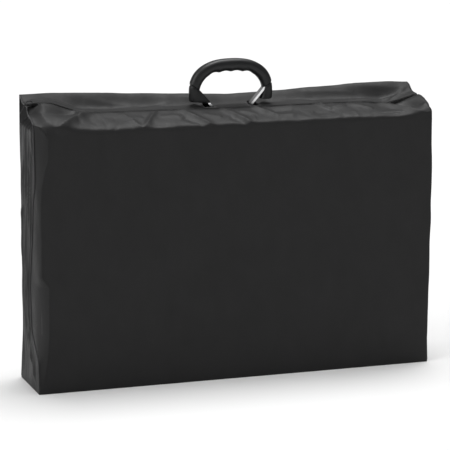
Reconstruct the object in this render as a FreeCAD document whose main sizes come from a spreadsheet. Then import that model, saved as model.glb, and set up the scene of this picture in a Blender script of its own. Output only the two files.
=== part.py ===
import FreeCAD, Part
import os
import re
import Sketcher
from FreeCAD import Placement, Rotation, Vector

# A two-section folding massage table, folded shut and standing on its long edge inside a zipped cloth cover.
# Frame: X along the long side, Y through the thickness with the front at -Y, Z up. The origin is the middle
# of the cover's base, on the floor. The centre hinge stands upright near the right-hand end, on the XZ plane.
# "Reach" is a distance from the hinge line towards the open end, and "depth" one from the XZ plane outwards.

SIZES = {
    # cover
    "cover_length": 950, "cover_depth": 170, "cloth": 1.5, "base_panel": 3, "shoulder_height": 583,
    "zip_gap": 6, "crown_across": 58,
    # folded table
    "hinge_across": 465, "half_length": 930, "table_width": 600, "table_base": 4, "half_depth": 80,
    "half_gap": 5, "hinge_gap": 1, "rail_thick": 24, "rail_deep": 40, "board": 5, "vinyl": 1.5,
    "edge_round": 18,
    # centre hinges
    "leaf_thick": 2, "leaf_start": 5, "leaf_end": 35, "hinge_tall": 60, "barrel_radius": 4,
    "barrel_bore": 1.85,
    "tab_thick": 2.6, "hinge_pin": 1.8, "pin_head": 3.2, "pin_head_thick": 1.5, "knuckle_gap": 0.3,
    "lower_hinge": 100, "upper_hinge": 448, "screw": 1.6, "screw_head": 3.2, "screw_sink": 1.6,
    "screw_long": 16,
    "screw_pitch": 18, "screw_reach": 24,
    # legs
    "pivot_reach": 860, "pivot_depth": 23, "leg_wide": 30, "upright_thick": 20, "upright_long": 400,
    "rear_lane": 51.5, "front_lane": 75.5, "extension_thick": 18, "extension_start": 100,
    "extension_end": 558,
    "lane_gap": 0.5, "slot_start": 122, "slot_end": 390, "slot_wide": 8.6, "leg_bolt": 3.95, "leg_bore": 4,
    "bolt_head": 7.5, "bolt_head_thick": 2.2, "nut_radius": 7, "nut_thick": 6, "knob_reach": 300,
    "guide_reach": 384, "knob_radius": 14, "knob_thick": 16, "knob_dip": 4.5, "knob_dips": 6, "knob_bolt": 12,
    "crossbar_wide": 30, "crossbar_thick": 20, "upper_crossbar": 40, "lower_crossbar": 332,
    "foot_start": 546, "foot_end": 570, "foot_wall": 2, "foot_round": 3, "block_wide": 36,
    # carrying handle
    "handle_middle": 18, "handle_depth": 25, "handle_pivot": 614, "handle_half": 102, "handle_top": 735,
    "grip_under": 704, "grip_deep": 28, "grip_round": 7, "grip_foot": 636, "grip_side": 669,
    "grip_notch": 660,
    "grip_knee": 51, "grip_knee_drop": 8, "grip_bend": 88.5, "grip_bend_drop": 32, "grip_waist_in": 8,
    "grip_waist_drop": 23, "notch_half": 78, "foot_clear": 1,
    "scallop_pitch": 28, "scallop_rise": 3.5, "scallop_end_drop": 4,
    "strap_side": 88, "strap_side_rise": 4, "strap_bow": 76, "strap_bow_drop": 36, "strap_crest": 46,
    "strap_crest_drop": 21, "strap_thick": 5, "strap_wide": 18,
    "strap_foot": 49.5, "strap_bend": 627, "ear_thick": 3, "ear_wide": 16, "ear_near": 42.5, "ear_far": 53.5,
    "ear_top": 622, "plate_near": 33, "plate_far": 67, "plate_wide": 26, "plate_thick": 2, "swing_pin": 3,
    "swing_bore": 3.06, "pin_out": 2, "bracket_screw_near": 37.5, "bracket_screw_far": 62,
    "slot_near": 44, "slot_far": 66, "slot_deep": 30, "binding": 5, "binding_rise": 1,
    # zip
    "tape_wide": 10, "tape_thick": 1, "tape_below": 2.2, "teeth_half": 3, "teeth_below": 1,
    "teeth_thick": 3, "chain_left": -455, "chain_right": 469,
    "stop_long": 3, "stop_half": 4.5, "stop_tall": 3, "stop_gap": 0.2, "left_stop_drop": 5,
    "right_stop_drop": 4, "slider_left": -477, "slider_long": 20,
    "slider_half": 5, "slider_base": 652.6, "slider_thick": 5, "bridge_wall": 1, "bridge_thick": 1.6,
    "bridge_rise": 5, "bridge_half": 1.5, "bridge_long": 13, "pull_bar": 0.9, "pull_left": -474.5,
    "pull_height": 659.9,
    "pull_half": 7, "pull_long": 30, "pull_thick": 1.5, "pull_arm": 12, "pull_lean": 30,
    # end latches
    "lower_latch": 150, "upper_latch": 458, "latch_half": 16, "latch_plate": 2, "plate_start": 8,
    "plate_end": 42,
    "latch_pin_depth": 16.5, "latch_pin_out": 4.6, "latch_pin": 1.2, "latch_bore": 1.26, "lever_half": 8.5,
    "ear_height": 3, "lever_thick": 1.7, "lever_out": 3.9, "lever_tip": 15, "tip_thick": 2, "tip_gap": 2.4,
    "lip_near": 10, "lip_far": 12.4, "lip_out": 3.4, "knuckle": 2.2,
}

# The cover's top line at stations along X: (x, zip height, height of the crown behind the zip). The cloth is
# pulled up into a point at the left-hand end, where the zip finishes, and rises a little again at the right.
STATIONS = (
    (-475, 652, 655), (-440, 650, 654), (-350, 627, 647), (-110, 620, 639),
    (160, 619, 638), (330, 616, 645), (475, 622, 649),
)

# Two places nearer than this are one place.
SAME_PLACE = 0.01

doc = FreeCAD.newDocument("MassageTable")
sheet = doc.addObject("Spreadsheet::Sheet", "Sizes")
for row, (alias, number) in enumerate(SIZES.items(), start=1):
    sheet.set(f"A{row}", alias)
    sheet.set(f"B{row}", str(number))
    sheet.setAlias(f"B{row}", alias)
doc.recompute()
pieces = {}


# ---- helpers ----

def size(alias):
    """The number in the sheet's cell of that name."""
    return float(sheet.get(alias))


def bind(thing, prop, text):
    """Ties a property to an expression in which every size is named by its alias."""
    named = re.sub(r"[a-z][a-z_]+", lambda word: f"Sizes.{word.group(0)}", str(text))
    thing.setExpression(prop, named)


def move(thing, x, y, z):
    """Binds a piece's place to three expressions."""
    for axis, text in zip("xyz", (x, y, z)):
        bind(thing, f"Placement.Base.{axis}", text)
    return thing


def block(name, corner, sides):
    """A box from its low corner and its three sides."""
    box = doc.addObject("Part::Box", name)
    for prop, text in zip(("Length", "Width", "Height"), sides):
        bind(box, prop, text)
    return move(box, *corner)


def rod(name, foot, radius, height, along="z"):
    """A cylinder from the middle of its low end, along X, Y or Z."""
    turn = {"x": Rotation(Vector(0, 1, 0), 90), "y": Rotation(Vector(1, 0, 0), -90), "z": Rotation()}
    cylinder = doc.addObject("Part::Cylinder", name)
    cylinder.Placement.Rotation = turn[along]
    bind(cylinder, "Radius", radius)
    bind(cylinder, "Height", height)
    return move(cylinder, *foot)


def fuse(name, *shapes):
    """One solid made of several that touch."""
    thing = doc.addObject("Part::MultiFuse", name)
    thing.Shapes = list(shapes)
    return thing


def group(name, *shapes):
    """Separate solids that share one node."""
    thing = doc.addObject("Part::Compound", name)
    thing.Links = list(shapes)
    return thing


def cut(name, base, tool):
    """The base with the tool taken out of it."""
    thing = doc.addObject("Part::Cut", name)
    thing.Base = base
    thing.Tool = tool
    return thing


def flip_depth(name, source):
    """The same piece in the other half, mirrored through the XZ plane."""
    thing = doc.addObject("Part::Mirroring", name)
    thing.Source = source
    thing.Normal = Vector(0, 1, 0)
    return thing


def flip_width(name, source):
    """The same piece at the table's other edge, mirrored through the middle of its width."""
    thing = doc.addObject("Part::Mirroring", name)
    thing.Source = source
    thing.Normal = Vector(0, 0, 1)
    bind(thing, "Base.z", "table_base + table_width / 2")
    return thing


def flip_handle(name, source):
    """The same piece on the other side of the handle's middle."""
    thing = doc.addObject("Part::Mirroring", name)
    thing.Source = source
    thing.Normal = Vector(1, 0, 0)
    bind(thing, "Base.x", "handle_middle")
    return thing


def both_edges(name, source):
    return group(name, source, flip_width(f"{name}_other", source))


def round_face(name, box, radius, on_face):
    """Rounds the edges of a box that lie whole on the face that the test picks."""
    doc.recompute()
    feature = doc.addObject("Part::Fillet", name)
    feature.Base = box
    feature.Edges = [
        (number, radius, radius)
        for number, edge in enumerate(box.Shape.Edges, start=1)
        if all(on_face(vertex.Point) for vertex in edge.Vertexes)
    ]
    return feature


def body_sketch(body, name):
    """A sketch on the XY plane of a body."""
    sketch = body.newObject("Sketcher::SketchObject", name)
    flat = next(feature for feature in body.Origin.OriginFeatures if feature.Role == "XY_Plane")
    sketch.AttachmentSupport = (flat, [""])
    sketch.MapMode = "FlatFace"
    return sketch


def rectangle(sketch, low, high):
    """Draws a rectangle between two corners, each a pair of expressions."""
    guesses = [Vector(1, 1, 0), Vector(9, 1, 0), Vector(9, 9, 0), Vector(1, 9, 0)]
    first = sketch.GeometryCount
    for index, corner in enumerate(guesses):
        sketch.addGeometry(Part.LineSegment(corner, guesses[(index + 1) % 4]), False)
    for index in range(4):
        following = first + (index + 1) % 4
        sketch.addConstraint(Sketcher.Constraint("Coincident", first + index, 2, following, 1))
        direction = "Vertical" if index % 2 else "Horizontal"
        sketch.addConstraint(Sketcher.Constraint(direction, first + index))
    for line, texts, guess in ((first, low, 1.0), (first + 2, high, 9.0)):
        for kind, text in zip(("DistanceX", "DistanceY"), texts):
            number = sketch.addConstraint(Sketcher.Constraint(kind, line, 1, guess))
            bind(sketch, f"Constraints[{number}]", text)


def circle(sketch, across, up, radius):
    """Draws a circle whose centre and radius are expressions."""
    index = sketch.addGeometry(Part.Circle(Vector(1, 1, 0), Vector(0, 0, 1), 3), False)
    for kind, place, text, guess in (
        ("DistanceX", 3, across, 1.0), ("DistanceY", 3, up, 1.0), ("Radius", None, radius, 3.0),
    ):
        where = (index, guess) if place is None else (index, place, guess)
        number = sketch.addConstraint(Sketcher.Constraint(kind, *where))
        bind(sketch, f"Constraints[{number}]", text)


def pad(body, name, sketch, length):
    """Raises a sketch into a solid."""
    feature = body.newObject("PartDesign::Pad", name)
    feature.Profile = sketch
    bind(feature, "Length", length)
    body.Tip = feature
    return feature


def shape_feature(name, shape):
    """A feature whose shape is worked out here, from the sheet's numbers."""
    thing = doc.addObject("Part::Feature", name)
    thing.Shape = shape
    return thing


# ---- the two halves: padded tops and frames ----

DEPTH_OF_BOARD = "half_gap + rail_deep"
LEFT_END = "hinge_across - half_length"
RAIL_BASE = "table_base + vinyl"


def padded_top():
    """Board, foam and upholstery of the rear half, and their mirror images in the front half."""
    inner_corner = (f"{LEFT_END} + vinyl", DEPTH_OF_BOARD, RAIL_BASE)
    inner_length = "half_length - hinge_gap - 2 * vinyl"
    inner_width = "table_width - 2 * vinyl"
    board = block("board_panel", inner_corner, (inner_length, "board", inner_width))
    foam_box = block(
        "foam_box",
        (inner_corner[0], f"{DEPTH_OF_BOARD} + board", inner_corner[2]),
        (inner_length, "half_depth - vinyl - half_gap - rail_deep - board", inner_width),
    )
    vinyl_box = block(
        "vinyl_box",
        (LEFT_END, DEPTH_OF_BOARD, "table_base"),
        ("half_length - hinge_gap", "half_depth - half_gap - rail_deep", "table_width"),
    )
    outer, inner = size("half_depth"), size("half_depth") - size("vinyl")
    foam = round_face(
        "foam_pad", foam_box, size("edge_round") - size("vinyl"), lambda point: abs(point.y - inner) < SAME_PLACE
    )
    skin = round_face("vinyl_skin", vinyl_box, size("edge_round"), lambda point: abs(point.y - outer) < SAME_PLACE)
    vinyl = cut("vinyl_cover", skin, fuse("vinyl_filling", board, foam))
    for part, thing in (("board", board), ("foam", foam), ("upholstery", vinyl)):
        pieces[f"rear_{part}"] = thing
        pieces[f"front_{part}"] = flip_depth(f"front_{part}_mirrored", thing)


def raw_rails():
    """The four rails of the rear half, before any hole: the two long side rails, the hinge and end rails."""
    side = block(
        "side_rail", (LEFT_END, "half_gap", RAIL_BASE), ("half_length - hinge_gap", "rail_deep", "rail_thick")
    )
    across = (f"{RAIL_BASE} + rail_thick", "table_width - 2 * vinyl - 2 * rail_thick")
    hinge = block(
        "hinge_rail_blank", ("hinge_across - hinge_gap - rail_thick", "half_gap", across[0]),
        ("rail_thick", "rail_deep", across[1]),
    )
    end = block("end_rail_blank", (LEFT_END, "half_gap", across[0]), ("rail_thick", "rail_deep", across[1]))
    return both_edges("side_rails_blank", side), hinge, end


def hinge_screw(name, height):
    """One countersunk screw of the rear half, its head flush with the leaf."""
    cone = doc.addObject("Part::Cone", f"{name}_head")
    cone.Placement.Rotation = Rotation(Vector(1, 0, 0), -90)
    bind(cone, "Radius1", "screw_head")
    bind(cone, "Radius2", "screw")
    bind(cone, "Height", "screw_sink")
    move(cone, "hinge_across - screw_reach", "half_gap - leaf_thick", height)
    shank = rod(
        f"{name}_shank", ("hinge_across - screw_reach", "half_gap - leaf_thick", height), "screw", "screw_long", "y"
    )
    return fuse(name, cone, shank)


def hinge_leaf(name, foot, knuckles):
    """One rear leaf with its knuckles, from the height of its foot; knuckles are (start, end) expressions."""
    leaf = block(
        f"{name}_plate", ("hinge_across - leaf_end", "half_gap - leaf_thick", foot),
        ("leaf_end - leaf_start", "leaf_thick", "hinge_tall"),
    )
    solids = [leaf]
    for number, (start, end) in enumerate(knuckles):
        low = f"{foot} + {start}"
        tall = f"({end}) - ({start})"
        solids.append(block(
            f"{name}_tab_{number}", ("hinge_across - leaf_start", "half_gap - tab_thick", low),
            ("leaf_start", "tab_thick", tall),
        ))
        solids.append(rod(f"{name}_knuckle_{number}", ("hinge_across", "0", low), "barrel_radius", tall))
    bore = rod(f"{name}_bore", ("hinge_across", "0", foot), "barrel_bore", "hinge_tall")
    return cut(f"{name}_leaf", fuse(f"{name}_blank", *solids), bore)


def centre_hinges():
    """Two butt hinges. Returns the screws of the rear half, which also cut their holes in the rail."""
    outer = (("0", "hinge_tall / 3"), ("hinge_tall * 2 / 3", "hinge_tall"))
    middle = (("hinge_tall / 3 + knuckle_gap", "hinge_tall * 2 / 3 - knuckle_gap"),)
    rear, front, pins, screws = [], [], [], []
    for foot in ("lower_hinge", "upper_hinge"):
        rear.append(hinge_leaf(f"rear_{foot}", foot, outer))
        front.append(hinge_leaf(f"front_{foot}", foot, middle))
        shaft = rod(f"{foot}_pin", ("hinge_across", "0", foot), "hinge_pin", "hinge_tall")
        caps = [
            rod(f"{foot}_pin_head_{number}", ("hinge_across", "0", height), "pin_head", "pin_head_thick")
            for number, height in enumerate((f"{foot} - pin_head_thick", f"{foot} + hinge_tall"))
        ]
        pins.append(fuse(f"{foot}_pin_whole", shaft, *caps))
        for number, offset in enumerate(("- screw_pitch", "", "+ screw_pitch")):
            screws.append(hinge_screw(f"{foot}_screw_{number}", f"{foot} + hinge_tall / 2 {offset}"))
    rear_screws = group("rear_screw_group", *screws)
    front_leaves = cut("front_leaves_drilled", group("front_leaf_pair", *front), rear_screws)
    pieces["rear_hinge_leaves"] = cut("rear_leaves_drilled", group("rear_leaf_pair", *rear), rear_screws)
    pieces["front_hinge_leaves"] = flip_depth("front_leaves_mirrored", front_leaves)
    pieces["hinge_pins"] = group("hinge_pin_pair", *pins)
    pieces["rear_hinge_screws"] = rear_screws
    pieces["front_hinge_screws"] = flip_depth("front_screws_mirrored", rear_screws)
    return rear_screws


def pivot_bolt(name, lane):
    """The bolt that a leg turns on, from the outside of the rail, with its nut inside the leg."""
    across = ("hinge_across - pivot_reach", "pivot_depth")
    head = rod(f"{name}_head", (*across, RAIL_BASE), "bolt_head", "bolt_head_thick * 2")
    shaft = rod(
        f"{name}_shaft", (*across, RAIL_BASE), "leg_bolt",
        f"{lane} + upright_thick + lane_gap + nut_thick - table_base - vinyl",
    )
    nut = rod(f"{name}_nut", (*across, f"{lane} + upright_thick + lane_gap"), "nut_radius", "nut_thick")
    return fuse(f"{name}_bolt", head, shaft, nut)


def frame_half(side, lane, rails, screws, side_rail_screws):
    """Rails, pivot blocks and pivot bolts of one half, in the rear half's place; the front one is mirrored."""
    side_rails, hinge_rail, end_rail = rails
    bolts = both_edges(f"{side}_bolts", pivot_bolt(f"{side}_pivot", lane))
    post = block(
        f"{side}_block_blank",
        ("hinge_across - pivot_reach - block_wide / 2", "half_gap", f"{RAIL_BASE} + rail_thick"),
        ("block_wide", "rail_deep", f"{lane} - lane_gap - table_base - vinyl - rail_thick"),
    )
    posts = cut(f"{side}_blocks", both_edges(f"{side}_block_pair", post), bolts)
    side_tool = group(f"{side}_side_tool", bolts, side_rail_screws) if side_rail_screws else bolts
    parts = {
        "side_rails": cut(f"{side}_side_rails_drilled", side_rails, side_tool),
        "hinge_rail": cut(f"{side}_hinge_rail_drilled", hinge_rail, screws),
        "end_rail": end_rail,
        "pivot_blocks": posts,
        "pivot_bolts": bolts,
    }
    for part, thing in parts.items():
        pieces[f"{side}_{part}"] = thing if side == "rear" else flip_depth(f"front_{part}_mirrored", thing)


# ---- legs, built in the rear half's place ----

def leg_upright(name, lane):
    """The fixed part of a leg: a flat bar with round ends, bored for its pivot and its two height bolts."""
    foot = f"{lane}"
    bar = block(
        f"{name}_bar", ("hinge_across - pivot_reach", "pivot_depth - leg_wide / 2", foot),
        ("upright_long - leg_wide / 2", "leg_wide", "upright_thick"),
    )
    ends = [
        rod(f"{name}_end_{number}", (across, "pivot_depth", foot), "leg_wide / 2", "upright_thick")
        for number, across in enumerate((
            "hinge_across - pivot_reach", "hinge_across - pivot_reach + upright_long - leg_wide / 2"
        ))
    ]
    bores = [
        rod(
            f"{name}_bore_{number}", (f"hinge_across - pivot_reach + {reach}", "pivot_depth", foot), radius,
            "upright_thick",
        )
        for number, (reach, radius) in enumerate((("0", "leg_bore"), ("knob_reach", "leg_bolt"),
                                                  ("guide_reach", "leg_bolt")))
    ]
    return cut(f"{name}_upright", fuse(f"{name}_blank", bar, *ends), group(f"{name}_bores", *bores))


def leg_extension(name, lane):
    """The sliding part of a leg: a bar with a long slot, beside the upright on the rail's side."""
    body = doc.addObject("PartDesign::Body", name)
    sketch = body_sketch(body, f"{name}_outline")
    rectangle(sketch, ("extension_start", "-leg_wide / 2"), ("extension_end", "leg_wide / 2"))
    bar = pad(body, f"{name}_bar", sketch, "extension_thick")
    slot = body_sketch(body, f"{name}_slot_outline")
    rectangle(slot, ("slot_start", "-slot_wide / 2"), ("slot_end", "slot_wide / 2"))
    doc.recompute()
    pocket = body.newObject("PartDesign::Pocket", f"{name}_slot")
    pocket.Profile = slot
    pocket.Type = "ThroughAll"
    pocket.Reversed = True
    body.Tip = pocket
    doc.recompute()
    assert pocket.Shape.Volume < bar.Shape.Volume, "the slot cut nothing"
    return move(body, "hinge_across - pivot_reach", "pivot_depth", f"{lane} - lane_gap - extension_thick")


def leg_foot(name, lane):
    """A rubber cap over the end of the extension, rounded, with a socket for the bar."""
    cap = block(
        f"{name}_blank",
        ("hinge_across - pivot_reach + foot_start", "pivot_depth - leg_wide / 2 - foot_wall",
         f"{lane} - lane_gap - extension_thick - foot_wall"),
        ("foot_end - foot_start", "leg_wide + 2 * foot_wall", "extension_thick + 2 * foot_wall"),
    )
    tip = size("hinge_across") - size("pivot_reach") + size("foot_end")
    soft = round_face(f"{name}_soft", cap, size("foot_round"), lambda point: abs(point.x - tip) < SAME_PLACE)
    socket = block(
        f"{name}_socket",
        ("hinge_across - pivot_reach + foot_start", "pivot_depth - leg_wide / 2",
         f"{lane} - lane_gap - extension_thick"),
        ("extension_end - foot_start", "leg_wide", "extension_thick"),
    )
    return cut(f"{name}_cap", soft, socket)


def height_bolts(name, lane):
    """The knob's bolt and the guide bolt, which run in the extension's slot."""
    low = f"{lane} - lane_gap - extension_thick - bolt_head_thick - lane_gap"
    solids = []
    for reach, tall in (("knob_reach", "upright_thick + knob_bolt"), ("guide_reach", "upright_thick + nut_thick")):
        across = (f"hinge_across - pivot_reach + {reach}", "pivot_depth")
        head = rod(f"{name}_{reach}_head", (*across, low), "bolt_head", "bolt_head_thick")
        shaft = rod(
            f"{name}_{reach}_shaft", (*across, low), "leg_bolt",
            f"bolt_head_thick + 2 * lane_gap + extension_thick + {tall}",
        )
        parts = [head, shaft]
        if reach == "guide_reach":
            parts.append(rod(f"{name}_nut", (*across, f"{lane} + upright_thick"), "nut_radius", "nut_thick"))
        solids.append(fuse(f"{name}_{reach}_bolt", *parts))
    return group(f"{name}_bolts", *solids)


def leg_knob(name, lane):
    """A lobed hand knob on the end of its bolt, with a running bore."""
    body = doc.addObject("PartDesign::Body", name)
    sketch = body_sketch(body, f"{name}_outline")
    circle(sketch, "0", "0", "knob_radius")
    disc = pad(body, f"{name}_disc", sketch, "knob_thick")
    dip = body_sketch(body, f"{name}_dip_outline")
    circle(dip, "knob_radius + knob_dip / 3", "0", "knob_dip")
    doc.recompute()
    pocket = body.newObject("PartDesign::Pocket", f"{name}_dip")
    pocket.Profile = dip
    pocket.Type = "ThroughAll"
    pocket.Reversed = True
    body.Tip = pocket
    doc.recompute()
    assert pocket.Shape.Volume < disc.Shape.Volume, "the knob's dip cut nothing"
    ring = body.newObject("PartDesign::PolarPattern", f"{name}_dips")
    ring.Originals = [pocket]
    ring.Axis = (next(axis for axis in body.Origin.OriginFeatures if axis.Role == "Z_Axis"), [""])
    bind(ring, "Occurrences", "knob_dips")
    body.Tip = ring
    move(body, "hinge_across - pivot_reach + knob_reach", "pivot_depth", f"{lane} + upright_thick + lane_gap")
    bore = rod(
        f"{name}_bore", ("hinge_across - pivot_reach + knob_reach", "pivot_depth", f"{lane} + upright_thick"),
        "leg_bore", "knob_bolt + lane_gap",
    )
    return cut(f"{name}_bored", body, bore)


def leg_crossbars(name, lane):
    """Two bars that join the uprights of a pair across the table."""
    bars = [
        block(
            f"{name}_bar_{number}",
            (f"hinge_across - pivot_reach + {reach}", "pivot_depth - crossbar_thick / 2", f"{lane} + upright_thick"),
            ("crossbar_wide", "crossbar_thick",
             f"table_width + 2 * table_base - 2 * {lane} - 2 * upright_thick"),
        )
        for number, reach in enumerate(("upper_crossbar", "lower_crossbar"))
    ]
    return group(f"{name}_bars", *bars)


def leg_pair(side, lane):
    """All the pieces of one leg pair. The lower leg is the one near the floor when the table is shut."""
    upright = leg_upright(f"{side}_leg", lane)
    bolts = height_bolts(f"{side}_height", lane)
    shared = {
        "leg_uprights": both_edges(f"{side}_uprights", upright),
        "leg_crossbars": leg_crossbars(f"{side}_crossbar", lane),
        "height_bolts": both_edges(f"{side}_height_bolt_pairs", bolts),
    }
    for part, thing in shared.items():
        pieces[f"{side}_{part}"] = thing if side == "rear" else flip_depth(f"{side}_{part}_mirrored", thing)
    for part, make in (("extension", leg_extension), ("foot", leg_foot), ("knob", leg_knob)):
        lower = make(f"{side}_lower_{part}_rear_place", lane)
        upper = flip_width(f"{side}_upper_{part}_rear_place", lower)
        for edge, thing in (("lower", lower), ("upper", upper)):
            label = f"{side}_{edge}_{part}"
            pieces[label] = thing if side == "rear" else flip_depth(f"{label}_mirrored", thing)


# ---- latches at the open end ----

def end_latches():
    """Two snap latches across the joint: a base and lever on the rear half, a lipped keeper on the front."""
    bases, levers, keepers, pins = [], [], [], []
    for place in ("lower_latch", "upper_latch"):
        plate = block(
            f"{place}_plate", (f"{LEFT_END} - latch_plate", "plate_start", f"{place} - latch_half"),
            ("latch_plate", "plate_end - plate_start", "2 * latch_half"),
        )
        ears = [
            block(
                f"{place}_ear_{number}",
                (f"{LEFT_END} - latch_pin_out - knuckle", "latch_pin_depth - knuckle", low),
                ("latch_pin_out + knuckle - latch_plate", "2 * knuckle", "ear_height"),
            )
            for number, low in enumerate((
                f"{place} - lever_half - knuckle_gap - ear_height", f"{place} + lever_half + knuckle_gap"
            ))
        ]
        pin_foot = (f"{LEFT_END} - latch_pin_out", "latch_pin_depth")
        pin_low = f"{place} - lever_half - knuckle_gap - ear_height"
        pin = rod(
            f"{place}_pin", (*pin_foot, pin_low), "latch_pin", "2 * lever_half + 2 * knuckle_gap + 2 * ear_height"
        )
        pins.append(pin)
        bases.append(cut(f"{place}_base", fuse(f"{place}_base_blank", plate, *ears), pin))
        arm = block(
            f"{place}_arm", (f"{LEFT_END} - lever_out - lever_thick", "-lever_tip", f"{place} - lever_half"),
            ("lever_thick", "lever_tip + latch_pin_depth", "2 * lever_half"),
        )
        tip = block(
            f"{place}_tip", (f"{LEFT_END} - lever_out - lever_thick", "-lever_tip", f"{place} - lever_half"),
            ("lever_thick + lever_out - tip_gap", "tip_thick", "2 * lever_half"),
        )
        knuckle = rod(f"{place}_knuckle", (*pin_foot, f"{place} - lever_half"), "knuckle", "2 * lever_half")
        bore = rod(f"{place}_bore", (*pin_foot, f"{place} - lever_half"), "latch_bore", "2 * lever_half")
        levers.append(cut(f"{place}_lever", fuse(f"{place}_lever_blank", arm, tip, knuckle), bore))
        keeper = block(
            f"{place}_keeper_plate", (f"{LEFT_END} - latch_plate", "-plate_end", f"{place} - latch_half"),
            ("latch_plate", "plate_end - plate_start", "2 * latch_half"),
        )
        lip = block(
            f"{place}_lip", (f"{LEFT_END} - lip_out", "-lip_far", f"{place} - latch_half"),
            ("lip_out", "lip_far - lip_near", "2 * latch_half"),
        )
        keepers.append(fuse(f"{place}_keeper", keeper, lip))
    for label, solids in (
        ("latch_bases", bases), ("latch_levers", levers), ("latch_keepers", keepers), ("latch_pins", pins)
    ):
        pieces[label] = group(f"{label}_pair", *solids)


# ---- carrying handle ----

# The grip's long outer arcs are rounded, and the short finger hollows aren't.
LONGER_THAN_A_HOLLOW = 1.05


def ribbon(points, thickness):
    """A closed outline of even thickness along a run of (across, up) points, in the XZ plane."""
    sides = ([], [])
    for index, (across, up) in enumerate(points):
        before = Vector(*points[max(index - 1, 0)], 0)
        after = Vector(*points[min(index + 1, len(points) - 1)], 0)
        here = Vector(across, up, 0)
        runs = [run.normalize() for run in (here - before, after - here) if run.Length > SAME_PLACE]
        normals = [Vector(-run.y, run.x, 0) for run in runs]
        middle = (normals[0] + normals[-1]).normalize()
        reach = thickness / 2 / middle.dot(normals[0])
        for side, sign in zip(sides, (1, -1)):
            spot = here + middle * reach * sign
            side.append(Vector(spot.x, 0, spot.y))
    loop = sides[0] + sides[1][::-1]
    return Part.Face(Part.makePolygon(loop + loop[:1]))


def handle_core():
    """The flat steel strap: up from each pivot, out along the grip's foot, and over inside the grip."""
    middle, deep = size("handle_middle"), size("handle_depth")
    top, foot = size("handle_top"), size("strap_foot")
    inside = (size("handle_top") + size("grip_under")) / 2
    right = [
        (foot, size("handle_pivot")), (foot, size("strap_bend")), (size("notch_half"), size("grip_notch")),
        (size("strap_side"), size("grip_side") + size("strap_side_rise")),
        (size("strap_bow"), top - size("strap_bow_drop")), (size("strap_crest"), top - size("strap_crest_drop")),
        (0, inside),
    ]
    run = [(middle + across, up) for across, up in right]
    run += [(middle - across, up) for across, up in right[-2::-1]]
    wide = size("strap_wide")
    strap = ribbon(run, size("strap_thick")).extrude(Vector(0, wide, 0))
    strap.translate(Vector(0, deep - wide / 2, 0))
    for side in (1, -1):
        across = middle + side * foot - size("strap_thick") / 2
        centre = Vector(across, deep, size("handle_pivot"))
        strap = strap.fuse(Part.makeCylinder(wide / 2, size("strap_thick"), centre, Vector(1, 0, 0)))
        strap = strap.cut(Part.makeCylinder(size("swing_bore"), size("strap_thick"), centre, Vector(1, 0, 0)))
    return shape_feature("core_strap", strap.removeSplitter())


def handle_grip(core):
    """The moulded grip: an arch with four finger hollows under its top and a foot that widens inwards."""
    middle, half, top = size("handle_middle"), size("handle_half"), size("handle_top")
    side, notch, under, foot = size("grip_side"), size("notch_half"), size("grip_under"), size("grip_foot")
    pitch, rise = size("scallop_pitch"), size("scallop_rise")

    def spot(across, up):
        return Vector(middle + across, 0, up)

    def arc(*through):
        return Part.Arc(*through).toShape()

    knee = (size("grip_knee"), top - size("grip_knee_drop"))
    bend = (size("grip_bend"), top - size("grip_bend_drop"))
    waist = (notch - size("grip_waist_in"), under - size("grip_waist_drop"))
    end_drop = size("scallop_end_drop")
    inner_foot = size("strap_foot") + foot - size("strap_bend") + size("strap_thick") / 2 + size("foot_clear")
    edges = [
        Part.makeLine(spot(-half, foot), spot(-half, side)),
        arc(spot(-half, side), spot(-bend[0], bend[1]), spot(-knee[0], knee[1])),
        arc(spot(-knee[0], knee[1]), spot(0, top), spot(*knee)),
        arc(spot(*knee), spot(*bend), spot(half, side)),
        Part.makeLine(spot(half, side), spot(half, foot)),
        Part.makeLine(spot(half, foot), spot(inner_foot, foot)),
        Part.makeLine(spot(inner_foot, foot), spot(notch, size("grip_notch"))),
        arc(spot(notch, size("grip_notch")), spot(*waist), spot(2 * pitch, under - end_drop)),
    ]
    for number in (1, 0, -1, -2):
        left, right = number * pitch, (number + 1) * pitch
        drops = [end_drop if abs(end) == 2 * pitch else 0 for end in (right, left)]
        peak = spot((left + right) / 2, under + rise - sum(drops) / 2)
        edges.append(arc(spot(right, under - drops[0]), peak, spot(left, under - drops[1])))
    edges += [
        arc(spot(-2 * pitch, under - end_drop), spot(-waist[0], waist[1]), spot(-notch, size("grip_notch"))),
        Part.makeLine(spot(-notch, size("grip_notch")), spot(-inner_foot, foot)),
        Part.makeLine(spot(-inner_foot, foot), spot(-half, foot)),
    ]
    deep = size("grip_deep")
    solid = Part.Face(Part.Wire(edges)).extrude(Vector(0, deep, 0))
    solid.translate(Vector(0, size("handle_depth") - deep / 2, 0))
    outer = []
    for edge in solid.Edges:
        box = edge.BoundBox
        on_a_face = box.YLength < SAME_PLACE
        over_the_arch = box.XLength > pitch * LONGER_THAN_A_HOLLOW or box.ZMax > knee[1] - SAME_PLACE
        if on_a_face and over_the_arch and box.ZMin > foot and box.ZMax > side:
            outer.append(edge)
    solid = solid.makeFillet(size("grip_round"), outer)
    blank = shape_feature("grip_blank", solid)
    return cut("grip_moulding", blank, core)


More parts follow.
